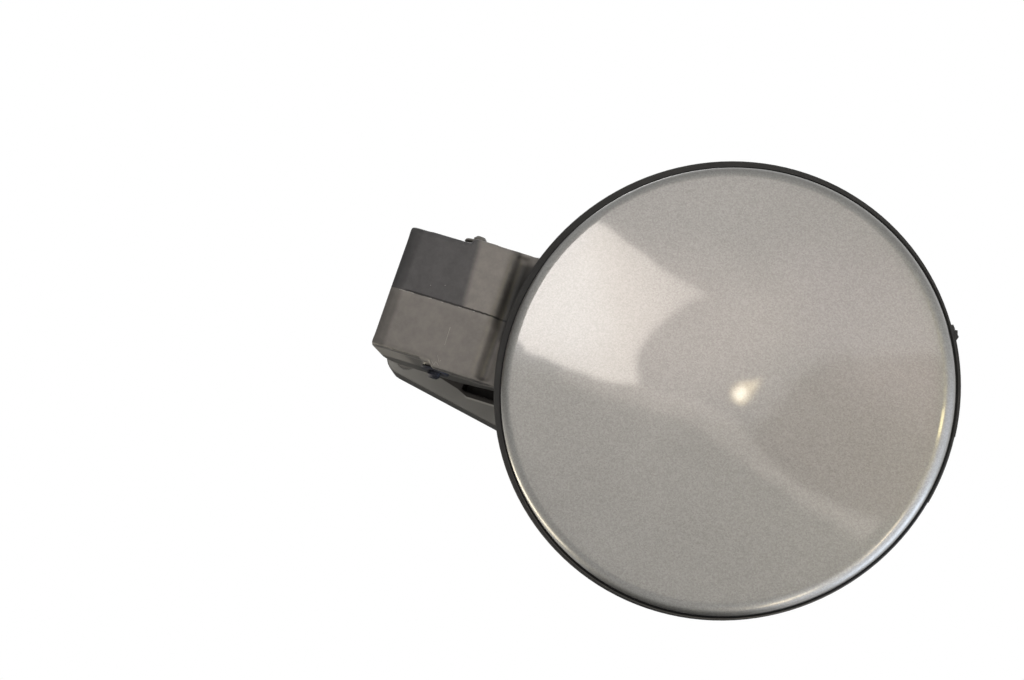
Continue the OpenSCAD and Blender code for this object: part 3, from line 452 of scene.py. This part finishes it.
def mergedMesh(nodeName, name, sharpDeg=24):
    # a merged copy of a CAD node's mesh, smooth over its gentle bends
    mesh = nodes[nodeName].data.copy()
    mesh.name = name
    made = bmesh.new()
    made.from_mesh(mesh)
    bmesh.ops.remove_doubles(made, verts=made.verts, dist=1e-6)
    for edge in made.edges:
        edge.smooth = not edge.is_manifold or edge.calc_face_angle(0) < math.radians(sharpDeg)
    for face in made.faces:
        face.smooth = True
    made.to_mesh(mesh)
    made.free()
    if mesh.has_custom_normals:
        mesh.attributes.remove(mesh.attributes["custom_normal"])
    return mesh


skinShape = {
    "radius": 75.0, "sheet": 0.8, "crown": 1.0, "roll": 4.0, "depth": 6.0,
    "around": 288, "crownRings": 24, "rollRings": 16,
}


def paintedSkin():
    s = skinShape
    bendAt = s["radius"] - s["roll"]
    slope = 2 * s["crown"] * bendAt / s["radius"] ** 2
    crownEdge = s["crown"] * (bendAt / s["radius"]) ** 2
    start = math.atan(slope)
    outer = []
    for i in range(s["crownRings"]):
        r = bendAt * (i + 1) / s["crownRings"]
        outer.append((r, s["crown"] * (r / s["radius"]) ** 2))
    for i in range(1, s["rollRings"] + 1):
        a = start + (math.pi / 2 - start) * i / s["rollRings"]
        out = (math.sin(a) - math.sin(start)) / (1 - math.sin(start))
        deep = (math.cos(start) - math.cos(a)) / math.cos(start)
        outer.append((bendAt + s["roll"] * out, crownEdge + s["roll"] * deep))
    outer.append((s["radius"], s["depth"]))
    inner = []
    for i, (r, d) in enumerate(outer):
        before = outer[max(i - 1, 0)]
        after = outer[min(i + 1, len(outer) - 1)]
        along = Vector((after[0] - before[0], after[1] - before[1])).normalized()
        inner.append((r - along.y * s["sheet"], min(d + along.x * s["sheet"], s["depth"])))
    inner[-1] = (s["radius"] - s["sheet"], s["depth"])
    rings = outer + inner[::-1]
    made = bmesh.new()
    front = made.verts.new((0, 0, 0))
    back = made.verts.new((0, s["sheet"], 0))
    loops = []
    for r, d in rings:
        loops.append([made.verts.new((r * math.cos(2 * math.pi * k / s["around"]), d, r * math.sin(2 * math.pi * k / s["around"]))) for k in range(s["around"])])
    n = s["around"]
    for k in range(n):
        made.faces.new((front, loops[0][(k + 1) % n], loops[0][k]))
        made.faces.new((back, loops[-1][k], loops[-1][(k + 1) % n]))
        for a, b in zip(loops, loops[1:]):
            made.faces.new((a[k], a[(k + 1) % n], b[(k + 1) % n], b[k]))
    bmesh.ops.recalc_face_normals(made, faces=made.faces)
    for face in made.faces:
        face.smooth = True
    for edge in made.edges:
        edge.smooth = edge.calc_face_angle(0) < math.radians(40)
    bmesh.ops.transform(made, matrix=Matrix.Translation(skinMiddle) @ Matrix.Scale(mm, 4), verts=made.verts)
    mesh = bpy.data.meshes.new("painted_skin")
    made.to_mesh(mesh)
    made.free()
    return newPiece("painted_skin", mesh, paint)


skin = paintedSkin()
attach(skin, "flap")
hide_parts("outer_skin")

baseDraft = {"front": 0.4, "back": 0.95, "plate": 8.0, "from": 17.0, "to": 22.5, "edge": 0.06}


def draftedBase():
    # the wall round the base leans out a little towards its mounting face, as it leaves the mould
    d = baseDraft
    mesh = mergedMesh("hinge_base", "moulded_base")
    low = [v.co / mm for v in mesh.vertices if -v.co.y < (d["plate"] + 0.1) * mm]
    flat = sorted({(round(p.x, 2), round(p.z, 2)) for p in low})
    hull = [flat[i] for i in geometry.convex_hull_2d([Vector(p) for p in flat])]
    for v in mesh.vertices:
        x, deep, z = v.co.x / mm, -v.co.y / mm, v.co.z / mm
        if deep < d["plate"] + 0.1 and insideBy(x, z, hull) < d["edge"]:
            shift = d["back"] + (d["front"] - d["back"]) * deep / d["plate"]
            weight = smoothStep((abs(z) - d["from"]) / (d["to"] - d["from"]))
            v.co.z += math.copysign(shift * weight * mm, z)
    return newPiece("moulded_base", mesh, basePlastic)


panel = newPiece("moulded_panel", mergedMesh("inner_panel", "moulded_panel"), panelPlastic)
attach(panel, "flap")
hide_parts("inner_panel")
base = draftedBase()
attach(base, "base")
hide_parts("hinge_base")

armSoft = {
    "grid": 0.42, "passes": 5, "endPasses": 22, "pinClear": 3.4, "tailFrom": -15.0, "valleyFrom": 8.0, "frontTo": -3.5,
    "valleyTo": 21.0, "valleyDepth": 4.0,
}


def roundedArm():
    # the arm as one even mesh, whose edges and corners come out rounded as moulded ones are
    f = armSoft
    source = bpy.data.objects.new("armSource", mergedMesh("hinge_arm", "armSource"))
    bpy.context.scene.collection.objects.link(source)
    even = source.modifiers.new("even", "REMESH")
    even.mode = "VOXEL"
    even.voxel_size = f["grid"] * mm
    graph = bpy.context.evaluated_depsgraph_get()
    mesh = bpy.data.meshes.new_from_object(source.evaluated_get(graph))
    source.modifiers.remove(even)
    bpy.data.objects.remove(source)
    made = bmesh.new()
    made.from_mesh(mesh)
    away, ends = [], []
    for corner in made.verts:
        x, y = (corner.co.x - pinPlace.x) / mm, (corner.co.y - pinPlace.y) / mm
        if math.hypot(x, y) > f["pinClear"]:
            away.append(corner)
            inValley = f["valleyFrom"] < x < f["valleyTo"] and y < f["valleyDepth"]
            if inValley or y < f["frontTo"] and (x < f["tailFrom"] or x > f["valleyFrom"]):
                ends.append(corner)
    for i in range(f["endPasses"]):
        bmesh.ops.smooth_vert(
            made, verts=away if i < f["passes"] else ends, factor=0.5,
            use_axis_x=True, use_axis_y=True, use_axis_z=True,
        )
    for face in made.faces:
        face.smooth = True
    made.to_mesh(mesh)
    made.free()
    mesh.name = "moulded_arm"
    return newPiece("moulded_arm", mesh, armPlastic)


arm = roundedArm()
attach(arm, "flap")
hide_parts("hinge_arm")
armSurface = BVHTree.FromPolygons([v.co for v in arm.data.vertices], [p.vertices for p in arm.data.polygons])
print("moulded pieces made, arm faces:", len(arm.data.polygons))

# the closing spring, one wire along a path
springShape = {
    "wire": 1.4, "turns": 8.25, "gap": 0.25, "radius": 3.75, "perTurn": 40, "sides": 14,
    "movingLegEnd": -16.8, "movingLegStart": -10.8,
    "fixedLeg": ((3.45, 2.0), (2.375, 4.8), (1.0, 7.5), (1.0, 14.5)),
}


def newTree(name, sockets):
    tree = bpy.data.node_groups.new(name, "GeometryNodeTree")
    tree.interface.new_socket(name="Geometry", in_out="INPUT", socket_type="NodeSocketGeometry")
    tree.interface.new_socket(name="Geometry", in_out="OUTPUT", socket_type="NodeSocketGeometry")
    for name, kind in sockets:
        tree.interface.new_socket(name=name, in_out="INPUT", socket_type="NodeSocket" + kind)
    return tree, addNode(tree, "NodeGroupInput")


def wireTree():
    # a wire of even thickness along a path, whose points may stray a little from it
    tree, given = newTree("wire along a path", (
        ("Wire radius", "Float"), ("Sides", "Int"), ("Spacing", "Float"), ("Finish", "Material"),
        ("Stray", "Vector"), ("Stray size", "Float"),
    ))
    even = addNode(tree, "GeometryNodeResampleCurve", {"mode": "LENGTH"}, links={"Curve": given.outputs[0], "Length": given.outputs[3]})
    wave = addNode(tree, "ShaderNodeTexNoise", values={"Detail": 3.0}, links={"Scale": given.outputs[6]})
    middle = addNode(tree, "ShaderNodeVectorMath", {"operation": "SUBTRACT"}, {1: (0.5, 0.5, 0.5)}, {0: wave.outputs[1]})
    shift = addNode(tree, "ShaderNodeVectorMath", {"operation": "MULTIPLY"}, links={0: middle.outputs[0], 1: given.outputs[5]})
    strayed = addNode(tree, "GeometryNodeSetPosition", links={"Geometry": even.outputs[0], "Offset": shift.outputs[0]})
    section = addNode(tree, "GeometryNodeCurvePrimitiveCircle", links={"Radius": given.outputs[1], "Resolution": given.outputs[2]})
    swept = addNode(tree, "GeometryNodeCurveToMesh", values={"Fill Caps": True}, links={"Curve": strayed.outputs[0], "Profile Curve": section.outputs[0]})
    smooth = addNode(tree, "GeometryNodeSetShadeSmooth", links={"Geometry": swept.outputs[0]})
    real = addNode(tree, "GeometryNodeRealizeInstances", links={"Geometry": smooth.outputs[0]})
    dressed = addNode(tree, "GeometryNodeSetMaterial", links={"Geometry": real.outputs[0], "Material": given.outputs[4]})
    addNode(tree, "NodeGroupOutput", links={0: dressed.outputs[0]})
    return tree


def grown(source, tree, values, name):
    # runs a node tree on a curve or mesh and keeps the result as a plain mesh
    modifier = source.modifiers.new("grown", "NODES")
    modifier.node_group = tree
    for item in tree.interface.items_tree:
        if item.in_out == "INPUT" and item.name in values:
            modifier[item.identifier] = values[item.name]
    graph = bpy.context.evaluated_depsgraph_get()
    mesh = bpy.data.meshes.new_from_object(source.evaluated_get(graph))
    mesh.name = name
    source.modifiers.remove(modifier)
    bpy.data.objects.remove(source)
    return mesh


def pathCurve(lines, name):
    data = bpy.data.curves.new(name, "CURVE")
    data.dimensions = "3D"
    for places in lines:
        line = data.splines.new("POLY")
        line.points.add(len(places) - 1)
        for spot, place in zip(line.points, places):
            spot.co = (*place, 1)
    source = bpy.data.objects.new(name, data)
    bpy.context.scene.collection.objects.link(source)
    return source


def closingSpring():
    s = springShape
    pitch = s["wire"] + s["gap"]
    low = -pitch * s["turns"] / 2
    spots = [(s["movingLegEnd"], -s["radius"], low), (s["movingLegStart"], -s["radius"], low)]
    count = int(s["perTurn"] * s["turns"])
    for i in range(count + 1):
        a = math.radians(270 + 360 * i / s["perTurn"])
        spots.append((s["radius"] * math.cos(a), s["radius"] * math.sin(a), low + pitch * i / s["perTurn"]))
    corners = [Vector((x, y, -low)) for x, y in s["fixedLeg"]]
    previous = Vector(spots[-1])
    for i, corner in enumerate(corners):
        following = corners[min(i + 1, len(corners) - 1)]
        spots.append(tuple(previous.lerp(corner, 0.6)))
        spots.append(tuple(corner.lerp(following, 0.08)))
        previous = corner
    spots.append(tuple(corners[-1]))
    placed = [pinPlace + Vector(spot) * mm for spot in spots]
    values = {
        "Wire radius": s["wire"] / 2 * mm, "Sides": s["sides"], "Spacing": 0.55 * mm, "Finish": springSteel,
        "Stray": (0, 0, 0), "Stray size": 1.0,
    }
    mesh = grown(pathCurve([placed], "springPath"), wireTree(), values, "wound_spring")
    spring = newPiece("wound_spring", mesh, springSteel)
    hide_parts("closing_spring")
    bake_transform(spring)
    return spring


closingSpring()
print("closing spring wound")

# what use and moulding left on the front of the arm, placed by their pixels in the photograph
armMarks = {
    "flashes": ((-19.0, -13.5), (-12.2, -11.4), (-8.6, -7.2), (-3.8, -3.0), (1.6, 3.4), (7.4, 8.2)),
    "flashZ": -0.95, "flashRadius": 0.17, "sink": 0.12, "scratchRadius": 0.1,
    "scratches": (
        ((450.3, 327.0), (447.0, 337.5), (444.8, 345.0)),
        ((437.4, 355.0), (439.0, 362.0)),
        ((440.6, 360.0), (438.8, 370.0)),
        ((424.0, 365.8), (428.0, 367.2), (426.6, 370.0), (430.0, 373.6)),
        ((431.5, 360.5), (433.5, 365.0), (436.0, 361.5), (438.5, 366.0)),
        ((424.5, 362.0), (427.0, 366.5)),
    ),
    "specks": ((430.6, 285.2), (445.2, 285.4), (409.0, 366.6)),
}


def onArm(px, py):
    hit = armSurface.ray_cast(cameraPlace, pixelRay(px, py))[0]
    return hit


def frontOfArm(x, z):
    hit = armSurface.ray_cast(Vector((pinPlace.x + x * mm, -0.2, z * mm)), Vector((0, 1, 0)))[0]
    return hit + Vector((0, armMarks["sink"] * mm, 0))


def markedArm():
    m = armMarks
    palePlastic = mouldedPlastic("polypropylene, scuffed pale", "#827D76", "#A19C95", 0.6, 0.2, 0.05)[0]
    seam = [[frontOfArm(a + (b - a) * i / 10, m["flashZ"]) for i in range(11)] for a, b in m["flashes"]]
    values = {
        "Wire radius": m["flashRadius"] * mm, "Sides": 8, "Spacing": 0.15 * mm, "Finish": palePlastic,
        "Stray": (0, 0.0008, 0.0004), "Stray size": perMetre(1.6),
    }
    flash = newPiece("parting_flash", grown(pathCurve(seam, "seamPath"), wireTree(), values, "parting_flash"), palePlastic)
    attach(flash, "flap")
    lines = [[onArm(*spot) for spot in line] for line in m["scratches"]]
    lines += [[onArm(x - 0.4, y), onArm(x + 0.4, y)] for x, y in m["specks"]]
    values = {
        "Wire radius": m["scratchRadius"] * mm, "Sides": 6, "Spacing": 0.15 * mm, "Finish": palePlastic,
        "Stray": (0, 0.0, 0.0002), "Stray size": perMetre(0.8),
    }
    marks = newPiece("scuff_marks", grown(pathCurve(lines, "markPaths"), wireTree(), values, "scuff_marks"), palePlastic)
    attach(marks, "flap")


markedArm()
print("marks laid on the arm")

# light and stage
stageSet = {
    "floorHeight": -0.3, "floorSize": 8.0, "floorColour": "#F2F2F1", "floorOwn": 0.8,
    "background": 1.0, "ambient": 0.55,
}


def world():
    s = stageSet
    made = bpy.data.worlds.new("pale room")
    bpy.context.scene.world = made
    made.use_nodes = True
    tree = made.node_tree
    tree.nodes.clear()
    path = addNode(tree, "ShaderNodeLightPath")
    seen = path.outputs["Is Camera Ray"]
    for kind in ("Is Glossy Ray", "Is Transmission Ray"):
        seen = addNode(tree, "ShaderNodeMath", {"operation": "MAXIMUM"}, links={0: seen, 1: path.outputs[kind]}).outputs[0]
    soft = addNode(tree, "ShaderNodeBackground", values={"Color": (1, 1, 1, 1), "Strength": s["ambient"]})
    white = addNode(tree, "ShaderNodeBackground", values={"Color": (1, 1, 1, 1), "Strength": s["background"]})
    mixed = addNode(tree, "ShaderNodeMixShader", links={0: seen, 1: soft.outputs[0], 2: white.outputs[0]})
    addNode(tree, "ShaderNodeOutputWorld", links={0: mixed.outputs[0]})


def floor():
    # a pale sheet under the object, clear from below because the camera stands lower than it
    s = stageSet
    half = s["floorSize"] / 2
    z = s["floorHeight"]
    mesh = bpy.data.meshes.new("floor")
    mesh.from_pydata([(-half, -half, z), (half, -half, z), (half, half, z), (-half, half, z)], [], [(0, 1, 2, 3)])
    material, tree, shader, place = newMaterial("matt white paper")
    shader.inputs["Base Color"].default_value = linearColour(s["floorColour"])
    shader.inputs["Roughness"].default_value = 0.9
    white = addNode(tree, "ShaderNodeEmission", values={"Strength": s["background"]})
    path = addNode(tree, "ShaderNodeLightPath")
    seen = addNode(tree, "ShaderNodeMath", {"operation": "MAXIMUM"}, links={0: path.outputs["Is Camera Ray"], 1: path.outputs["Is Glossy Ray"]})
    part = addNode(tree, "ShaderNodeMath", {"operation": "MULTIPLY"}, {1: s["floorOwn"]}, {0: seen.outputs[0]})
    even = addNode(tree, "ShaderNodeMixShader", links={0: part.outputs[0], 1: shader.outputs[0], 2: white.outputs[0]})
    clear = addNode(tree, "ShaderNodeBsdfTransparent")
    side = addNode(tree, "ShaderNodeNewGeometry")
    shown = addNode(tree, "ShaderNodeMixShader", links={0: side.outputs["Backfacing"], 1: even.outputs[0], 2: clear.outputs[0]})
    output = [n for n in tree.nodes if n.type == "OUTPUT_MATERIAL"][0]
    tree.links.new(shown.outputs[0], output.inputs[0])
    mesh.materials.append(material)
    piece = bpy.data.objects.new("floor", mesh)
    bpy.context.scene.collection.objects.link(piece)


def panelMesh(name, columns, rows, spot, glow):
    # a sheet of columns by rows, whose points carry how much of the panel's light they give
    places = [spot(i, j) for j in range(rows + 1) for i in range(columns + 1)]
    levels = [glow(i, j) for j in range(rows + 1) for i in range(columns + 1)]
    faces = []
    for j in range(rows):
        for i in range(columns):
            k = j * (columns + 1) + i
            corners = (k, k + 1, k + columns + 2, k + columns + 1)
            if max(levels[c] for c in corners) > 0:
                faces.append(corners)
    mesh = bpy.data.meshes.new(name)
    mesh.from_pydata([tuple(p) for p in places], [], faces)
    layer = mesh.attributes.new("level", "FLOAT", "POINT")
    layer.data.foreach_set("value", levels)
    return mesh


def hangPanel(name, mesh, strength, colour):
    # a panel seen only in reflections: it adds light, or below zero it takes that share away
    material = bpy.data.materials.new(name)
    material.use_nodes = True
    tree = material.node_tree
    tree.nodes.clear()
    level = addNode(tree, "ShaderNodeAttribute", {"attribute_name": "level"})
    if strength > 0:
        power = addNode(tree, "ShaderNodeMath", {"operation": "MULTIPLY"}, {1: strength}, {0: level.outputs["Fac"]})
        glow = addNode(tree, "ShaderNodeEmission", values={"Color": linearColour(colour)}, links={"Strength": power.outputs[0]})
        clear = addNode(tree, "ShaderNodeBsdfTransparent")
        shown = addNode(tree, "ShaderNodeAddShader", links={0: glow.outputs[0], 1: clear.outputs[0]})
    else:
        tone = addNode(tree, "ShaderNodeMix", {"data_type": "RGBA"}, {6: (1, 1, 1, 1), 7: (1 + strength,) * 3 + (1,)}, {0: level.outputs["Fac"]})
        shown = addNode(tree, "ShaderNodeBsdfTransparent", links={"Color": tone.outputs[2]})
    addNode(tree, "ShaderNodeOutputMaterial", links={"Surface": shown.outputs[0]})
    mesh.materials.append(material)
    piece = bpy.data.objects.new(name, mesh)
    bpy.context.scene.collection.objects.link(piece)
    for ray in ("camera", "diffuse", "transmission", "shadow", "volume_scatter"):
        setattr(piece, "visible_" + ray, False)


def discPanel(name, corners, soft, strength, colour="#FFFFFF", away=1.1, wobble=0.0, step=8.0, fade=(0, 1, 1)):
    # a panel that the disc mirrors inside an outline given in the picture, with soft edges
    # fade: from one picture column to another its light falls to a share
    lowX, highX = min(c[0] for c in corners) - soft, max(c[0] for c in corners) + soft
    lowY, highY = min(c[1] for c in corners) - soft, max(c[1] for c in corners) + soft
    columns, rows = math.ceil((highX - lowX) / step), math.ceil((highY - lowY) / step)

    def spot(i, j):
        return mirroredPlace(lowX + i * step, lowY + j * step, away)

    def glow(i, j):
        x, y = lowX + i * step, lowY + j * step
        shift = noise.noise_vector(Vector((x / 45, y / 45, 3))) + 0.5 * noise.noise_vector(Vector((x / 17, y / 17, 8)))
        left = 1 + (fade[2] - 1) * smoothStep((x - fade[0]) / (fade[1] - fade[0]))
        return left * smoothStep(0.5 + insideBy(x + wobble * shift.x, y + wobble * shift.y, corners) / (2 * soft))

    hangPanel(name, panelMesh(name, columns, rows, spot, glow), strength, colour)


def rimPlace(around, roll, away):
    # where a panel hangs that the rolled edge mirrors at an angle round the disc and round the roll
    s = skinShape
    a, r = math.radians(around), math.radians(roll)
    normal = Vector((math.cos(a) * math.sin(r), -math.cos(r), math.sin(a) * math.sin(r)))
    reach = s["radius"] - s["roll"] * (1 - math.sin(r))
    deep = s["crown"] + s["roll"] * (1 - math.cos(r))
    spot = skinMiddle + Vector((math.cos(a) * reach, deep, math.sin(a) * reach)) * mm
    ray = (spot - cameraPlace).normalized()
    leaving = ray - 2 * ray.dot(normal) * normal
    if leaving.z < 0:
        away = min(away, (spot.z - stageSet["floorHeight"] - 0.08) / -leaving.z)  # it stays above the floor
    return spot + leaving * away


def rimPanel(name, around, roll, half, strength, colour="#FFFFFF", away=0.7):
    # a strip that the rolled edge mirrors: around is (from, to), roll the middle of the strip at both ends
    soft = 0.12 * (around[1] - around[0]) + 1.5
    lowA, highA = around[0] - soft, around[1] + soft
    columns, rows = max(int((highA - lowA) / 1.5), 6), 8

    def place(i, j):
        a = lowA + (highA - lowA) * i / columns
        t = (a - around[0]) / (around[1] - around[0])
        return a, roll[0] + (roll[1] - roll[0]) * t + half * (2 * j / rows - 1)

    def glow(i, j):
        a = place(i, j)[0]
        ends = smoothStep(min(a - lowA, highA - a) / (2 * soft))
        return ends * smoothStep(1.6 - 1.6 * abs(2 * j / rows - 1))

    hangPanel(name, panelMesh(name, columns, rows, lambda i, j: rimPlace(*place(i, j), away), glow), strength, colour)


def flag(name, middle, across, up, share):
    # a dark cloth that takes a share away from what the object mirrors, strongest at its middle
    middle, across, up = Vector(middle), Vector(across), Vector(up)
    n = 12

    def spot(i, j):
        return middle + across * (2 * i / n - 1) + up * (2 * j / n - 1)

    def glow(i, j):
        return smoothStep(2 - 2 * abs(2 * i / n - 1)) * smoothStep(2 - 2 * abs(2 * j / n - 1))

    hangPanel(name, panelMesh(name, n, n, spot, glow), share, "#000000")


def areaLamp(name, place, size, watts, aim=None, glossy=True):
    data = bpy.data.lights.new(name, "AREA")
    data.shape = "DISK"
    data.size = size
    data.energy = watts
    lamp = bpy.data.objects.new(name, data)
    lamp.location = place
    lamp.rotation_mode = "QUATERNION"
    lamp.rotation_quaternion = ((aim or discMiddle) - Vector(place)).to_track_quat("-Z", "Y")
    lamp.visible_glossy = glossy
    bpy.context.scene.collection.objects.link(lamp)


# how strong each light is, and what the clear coat mirrors, as outlines in the picture's pixels
lightSet = {
    "key": 9.0, "fill": 8.0, "back": 10.0, "window": 8.0, "windowSide": 3.0, "upper": 0.9, "middle": 2.1,
    "right": 1.1, "band": 1.5, "spark": 9.0, "sparkCore": 12.0,
    "dark": -0.35, "tint": 0.3, "below": -0.85, "left": -0.6, "behind": -0.9, "under": -0.9,
}
windowOutline = [(607, 225), (625, 242), (640, 252), (665, 270), (690, 284), (707, 295), (690, 302), (668, 318), (648, 334),
                 (638, 350), (636, 366), (640, 386), (620, 383), (600, 378), (570, 369), (545, 357), (518, 347),
                 (440, 320), (440, 200), (540, 150)]
windowSide = [(440, 150), (570, 200), (598, 262), (606, 330), (586, 360), (440, 340)]
upperOutline = [(420, 320), (518, 347), (560, 366), (640, 386), (690, 408), (735, 425), (770, 420), (800, 372), (830, 352),
                (1040, 350), (1040, 90), (420, 90)]
middleOutline = [(600, 250), (700, 265), (790, 285), (800, 330), (770, 372), (720, 400), (660, 400), (620, 380)]
rightOutline = [(790, 250), (900, 255), (970, 330), (950, 430), (870, 400), (810, 350)]
darkOutline = [(752, 440), (765, 410), (790, 384), (830, 364), (900, 354), (990, 354), (990, 570), (888, 523), (848, 510),
               (808, 490), (770, 466)]
bandOutline = [(560, 368), (600, 374), (650, 388), (700, 403), (735, 417), (753, 440), (770, 466), (808, 490), (848, 508),
               (888, 523), (872, 545), (828, 520), (788, 495), (748, 464), (703, 430), (655, 410), (600, 394), (560, 380)]
sparkCore = [(733, 393), (740, 387), (747, 389), (745, 396), (738, 400)]
sparkOutline = [(731, 392), (738, 384), (748, 381), (760, 379), (757, 388), (750, 396), (741, 403), (733, 400)]
# what the rolled edge mirrors: angles round the disc, then round the roll at both ends, half width, strength
rimLights = [
    ((4, 11), (12, 12), 9, 17.0, "#FFEFB0"),
    ((326, 341), (28, 20), 4, 9.0, "#FFE8BC"),
    ((298, 311), (40, 34), 6, 9.0, "#FFEBC4"),
    ((217, 243), (60, 42), 8, 7.0, "#FFF3D8"),
    ((318, 350), (57, 57), 14, 4.2, "#DDEBFF"),
    ((300, 378), (40, 40), 26, 1.6, "#E6EEFF"),
]
rimFlags = [
    ((40, 140), (40, 40), 22, -0.3),
    ((146, 200), (66, 66), 30, -0.75),
    ((250, 292), (78, 78), 22, -0.75),
]
world()
floor()
discPanel("windowPanel", windowOutline, 3.5, lightSet["window"], "#FFF5EA", 1.10, 3, 4.0, (590, 700, 0.45))
discPanel("windowSidePanel", windowSide, 30, lightSet["windowSide"], "#F4F8FF", 1.12)
discPanel("upperPanel", upperOutline, 3, lightSet["upper"], "#FFF4F8", 1.14, 5, 5.0)
discPanel("middlePanel", middleOutline, 45, lightSet["middle"], "#FFE8DC", 1.16)
discPanel("rightPanel", rightOutline, 40, lightSet["right"], "#FFE2EC", 1.18)
discPanel("darkPanel", darkOutline, 3, lightSet["dark"], away=1.3, wobble=4, step=5.0)
discPanel("tintPanel", darkOutline, 20, lightSet["tint"], "#FF9C94", 1.24)
discPanel("bandPanel", bandOutline, 4, lightSet["band"], "#FFF0E6", 1.20, 5, 5.0)
discPanel("sparkCorePanel", sparkCore, 2, lightSet["sparkCore"], "#FFF8EC", 1.04, 2, 1.5)
discPanel("sparkPanel", sparkOutline, 4, lightSet["spark"], "#FFE9B8", 1.06, 3, 2.0)
for i, (around, roll, half, strength, colour) in enumerate(rimLights):
    rimPanel("rimLight" + str(i), around, roll, half, strength, colour, 0.7 + 0.02 * i)
for i, (around, roll, half, share) in enumerate(rimFlags):
    rimPanel("rimFlag" + str(i), around, roll, half, share, away=0.4 + 0.02 * i)
flag("flagBelow", (0.09, 0.08, -0.24), (0.16, 0, 0), (0, 0.2, 0), lightSet["below"])
flag("flagBehind", (-0.2, 1.0, -0.12), (0.9, 0, 0), (0, 0, 0.32), lightSet["behind"])
flag("flagLeft", (-0.5, -0.1, 0.0), (0, 0.5, 0), (0, 0, 0.2), lightSet["left"])
flag("flagUnder", (-0.1, 0.78, -0.26), (0.7, 0, 0), (0, 0.55, 0), lightSet["under"])
areaLamp("keyLamp", (-0.3, -1.6, 1.5), 0.9, lightSet["key"], glossy=False)
areaLamp("fillLamp", (1.6, -1.2, 0.5), 1.0, lightSet["fill"], glossy=False)
areaLamp("backLamp", (-0.8, 1.6, 0.9), 1.0, lightSet["back"])
print("stage and lights set")

bpy.context.scene.view_settings.view_transform = "Standard"
